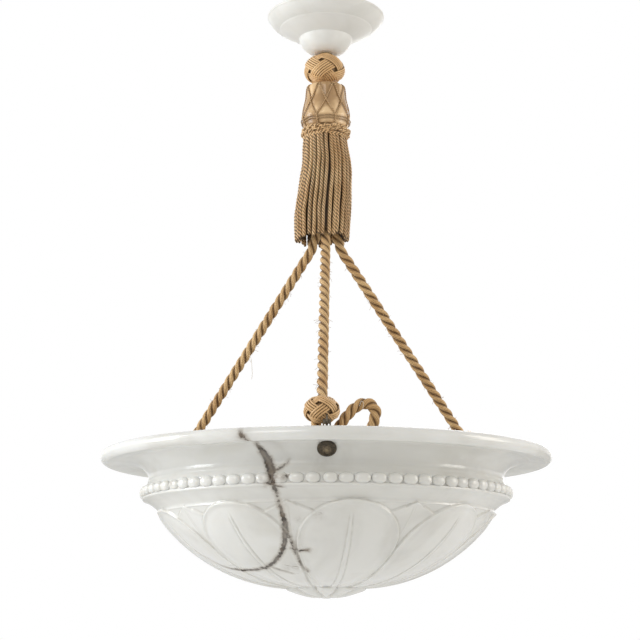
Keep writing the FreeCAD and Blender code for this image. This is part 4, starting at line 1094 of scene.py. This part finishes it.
def backdrop(scene):
    """A world that is white to the camera, in gloss and through glass, and dimmer as a light."""
    world = bpy.data.worlds.new("world")
    scene.world = world
    world.use_nodes = True
    nodes, links = world.node_tree.nodes, world.node_tree.links
    white = nodes["Background"]
    dim = nodes.new("ShaderNodeBackground")
    for shader, color, strength in ((white, (1, 1, 1, 1), 1.0),
                                    (dim, (1.0, 0.995, 0.98, 1), 0.49)):
        shader.inputs["Color"].default_value = color
        shader.inputs["Strength"].default_value = strength
    path = nodes.new("ShaderNodeLightPath")
    factor = path.outputs["Is Camera Ray"]
    for ray in ("Is Glossy Ray", "Is Transmission Ray"):
        either = nodes.new("ShaderNodeMath")
        either.operation = "MAXIMUM"
        links.new(factor, either.inputs[0])
        links.new(path.outputs[ray], either.inputs[1])
        factor = either.outputs[0]
    mix = nodes.new("ShaderNodeMixShader")
    for i, output in enumerate((factor, dim.outputs[0], white.outputs[0])):
        links.new(output, mix.inputs[i])
    links.new(mix.outputs[0], nodes["World Output"].inputs["Surface"])


def stage():
    scene = bpy.context.scene
    floor = bpy.data.meshes.new("floor")
    floor.from_pydata(FLOOR, [], [(0, 1, 2, 3)])
    ground = added("floor", floor)
    p = Paint("floor", (0.78, 0.78, 0.77), 0.8)
    tone = p.ramp(p.noise(3.0), (0.3, (0.872, 0.872, 0.862)), (0.7, (0.88, 0.88, 0.87)))
    p.set("Base Color", tone)
    floor.materials.append(p.mat)
    backdrop(scene)
    for name, (spot, width, height, watts, color) in SOFTBOXES.items():
        data = bpy.data.lights.new(name, "AREA")
        data.shape = "RECTANGLE"
        data.size, data.size_y, data.energy, data.color = width, height, watts, color
        lamp = added(name, data)
        lamp.location = spot
        x, y, z = np.subtract(AIM, spot)
        lamp.rotation_euler = (atan2(hypot(x, y), -z), 0, atan2(y, x) - pi / 2)
    scene.view_settings.view_transform = "Standard"


# ---------------- build
def main():
    camera()
    rope_tan, satin, bullion, fine, pale = (cord_paint(name) for name in CORDS)
    dark = bronze()
    steel = metal("steel", (0.42, 0.42, 0.41), (0.28, 0.27, 0.25), 0.42)
    brass = metal("brass", (0.52, 0.40, 0.20), (0.34, 0.25, 0.13), 0.38)
    holder = metal("holder_brass", (0.40, 0.31, 0.17), (0.22, 0.165, 0.09), 0.45)
    stone = plain("canopy_stone", STONE, 0.42, (14.0, 4.0, 0.5, 1.0),
                  ((0.30, (0.72, 0.71, 0.67)), (0.60, (0.80, 0.79, 0.755))),
                  (160.0, 3.0, 0.6, 0.06, 0.0006), IOR=1.5, Subsurface_Weight=0.25, **STONE_GLOW)
    ceramic = plain("ceramic", (0.80, 0.78, 0.72), 0.18, (60.0,),
                    ((0.35, (0.76, 0.74, 0.67)), (0.65, (0.83, 0.81, 0.76))),
                    (150.0, 2.0, 0.05, 0.0005), IOR=1.5, Coat_Weight=0.5)
    felt = plain("felt", (0.62, 0.59, 0.52), 0.95, (1500.0, 4.0, 0.7),
                 ((0.3, (0.50, 0.47, 0.40)), (0.7, (0.72, 0.69, 0.62))),
                 (1500.0, 4.0, 0.7, 0.6, 0.0005), Sheen_Weight=0.4)
    opal = plain("opal_glass", (0.90, 0.89, 0.85), 0.12, (40.0, 2.0),
                 ((0.3, (0.86, 0.85, 0.80)), (0.7, (0.93, 0.92, 0.90))),
                 (90.0, 2.0, 0.03, 0.0006), IOR=1.5, Transmission_Weight=0.35, Coat_Weight=0.6,
                 Coat_Roughness=0.05)
    nodes_of = {
        stone: "canopy", holder: "lampholders", ceramic: "terminal_cup", felt: "bolt_pads",
        opal: "bulb_glass", dark: "rim_bolts hangers hanger_rings",
        steel: "ceiling_plate ceiling_hook hook_link stem_eye hub_cap rope_block bulb_caps",
        brass: "stem canopy_washer canopy_nut head_nut swivel_nut rim_washers rim_nuts "
               "lamp_spider holder_nuts"}
    for material, names in nodes_of.items():
        for name in names.split():
            node = NODES[name]
            if not node.material_slots:
                node.data.materials.append(material)
            for slot in node.material_slots:
                slot.material = material
    rope_tail(rope_tan)
    for side, start in (("front", 0.4), ("right", 1.5), ("left", 2.6)):
        rope(side, rope_tan, start)
    stray_threads(pale)
    knots(satin)
    tassel_head(satin_cloth(), fine)
    tassel_collar(fine)
    tassel_skirt(bullion)
    bowl(alabaster())
    bolt_faces(dark)
    stage()


main()
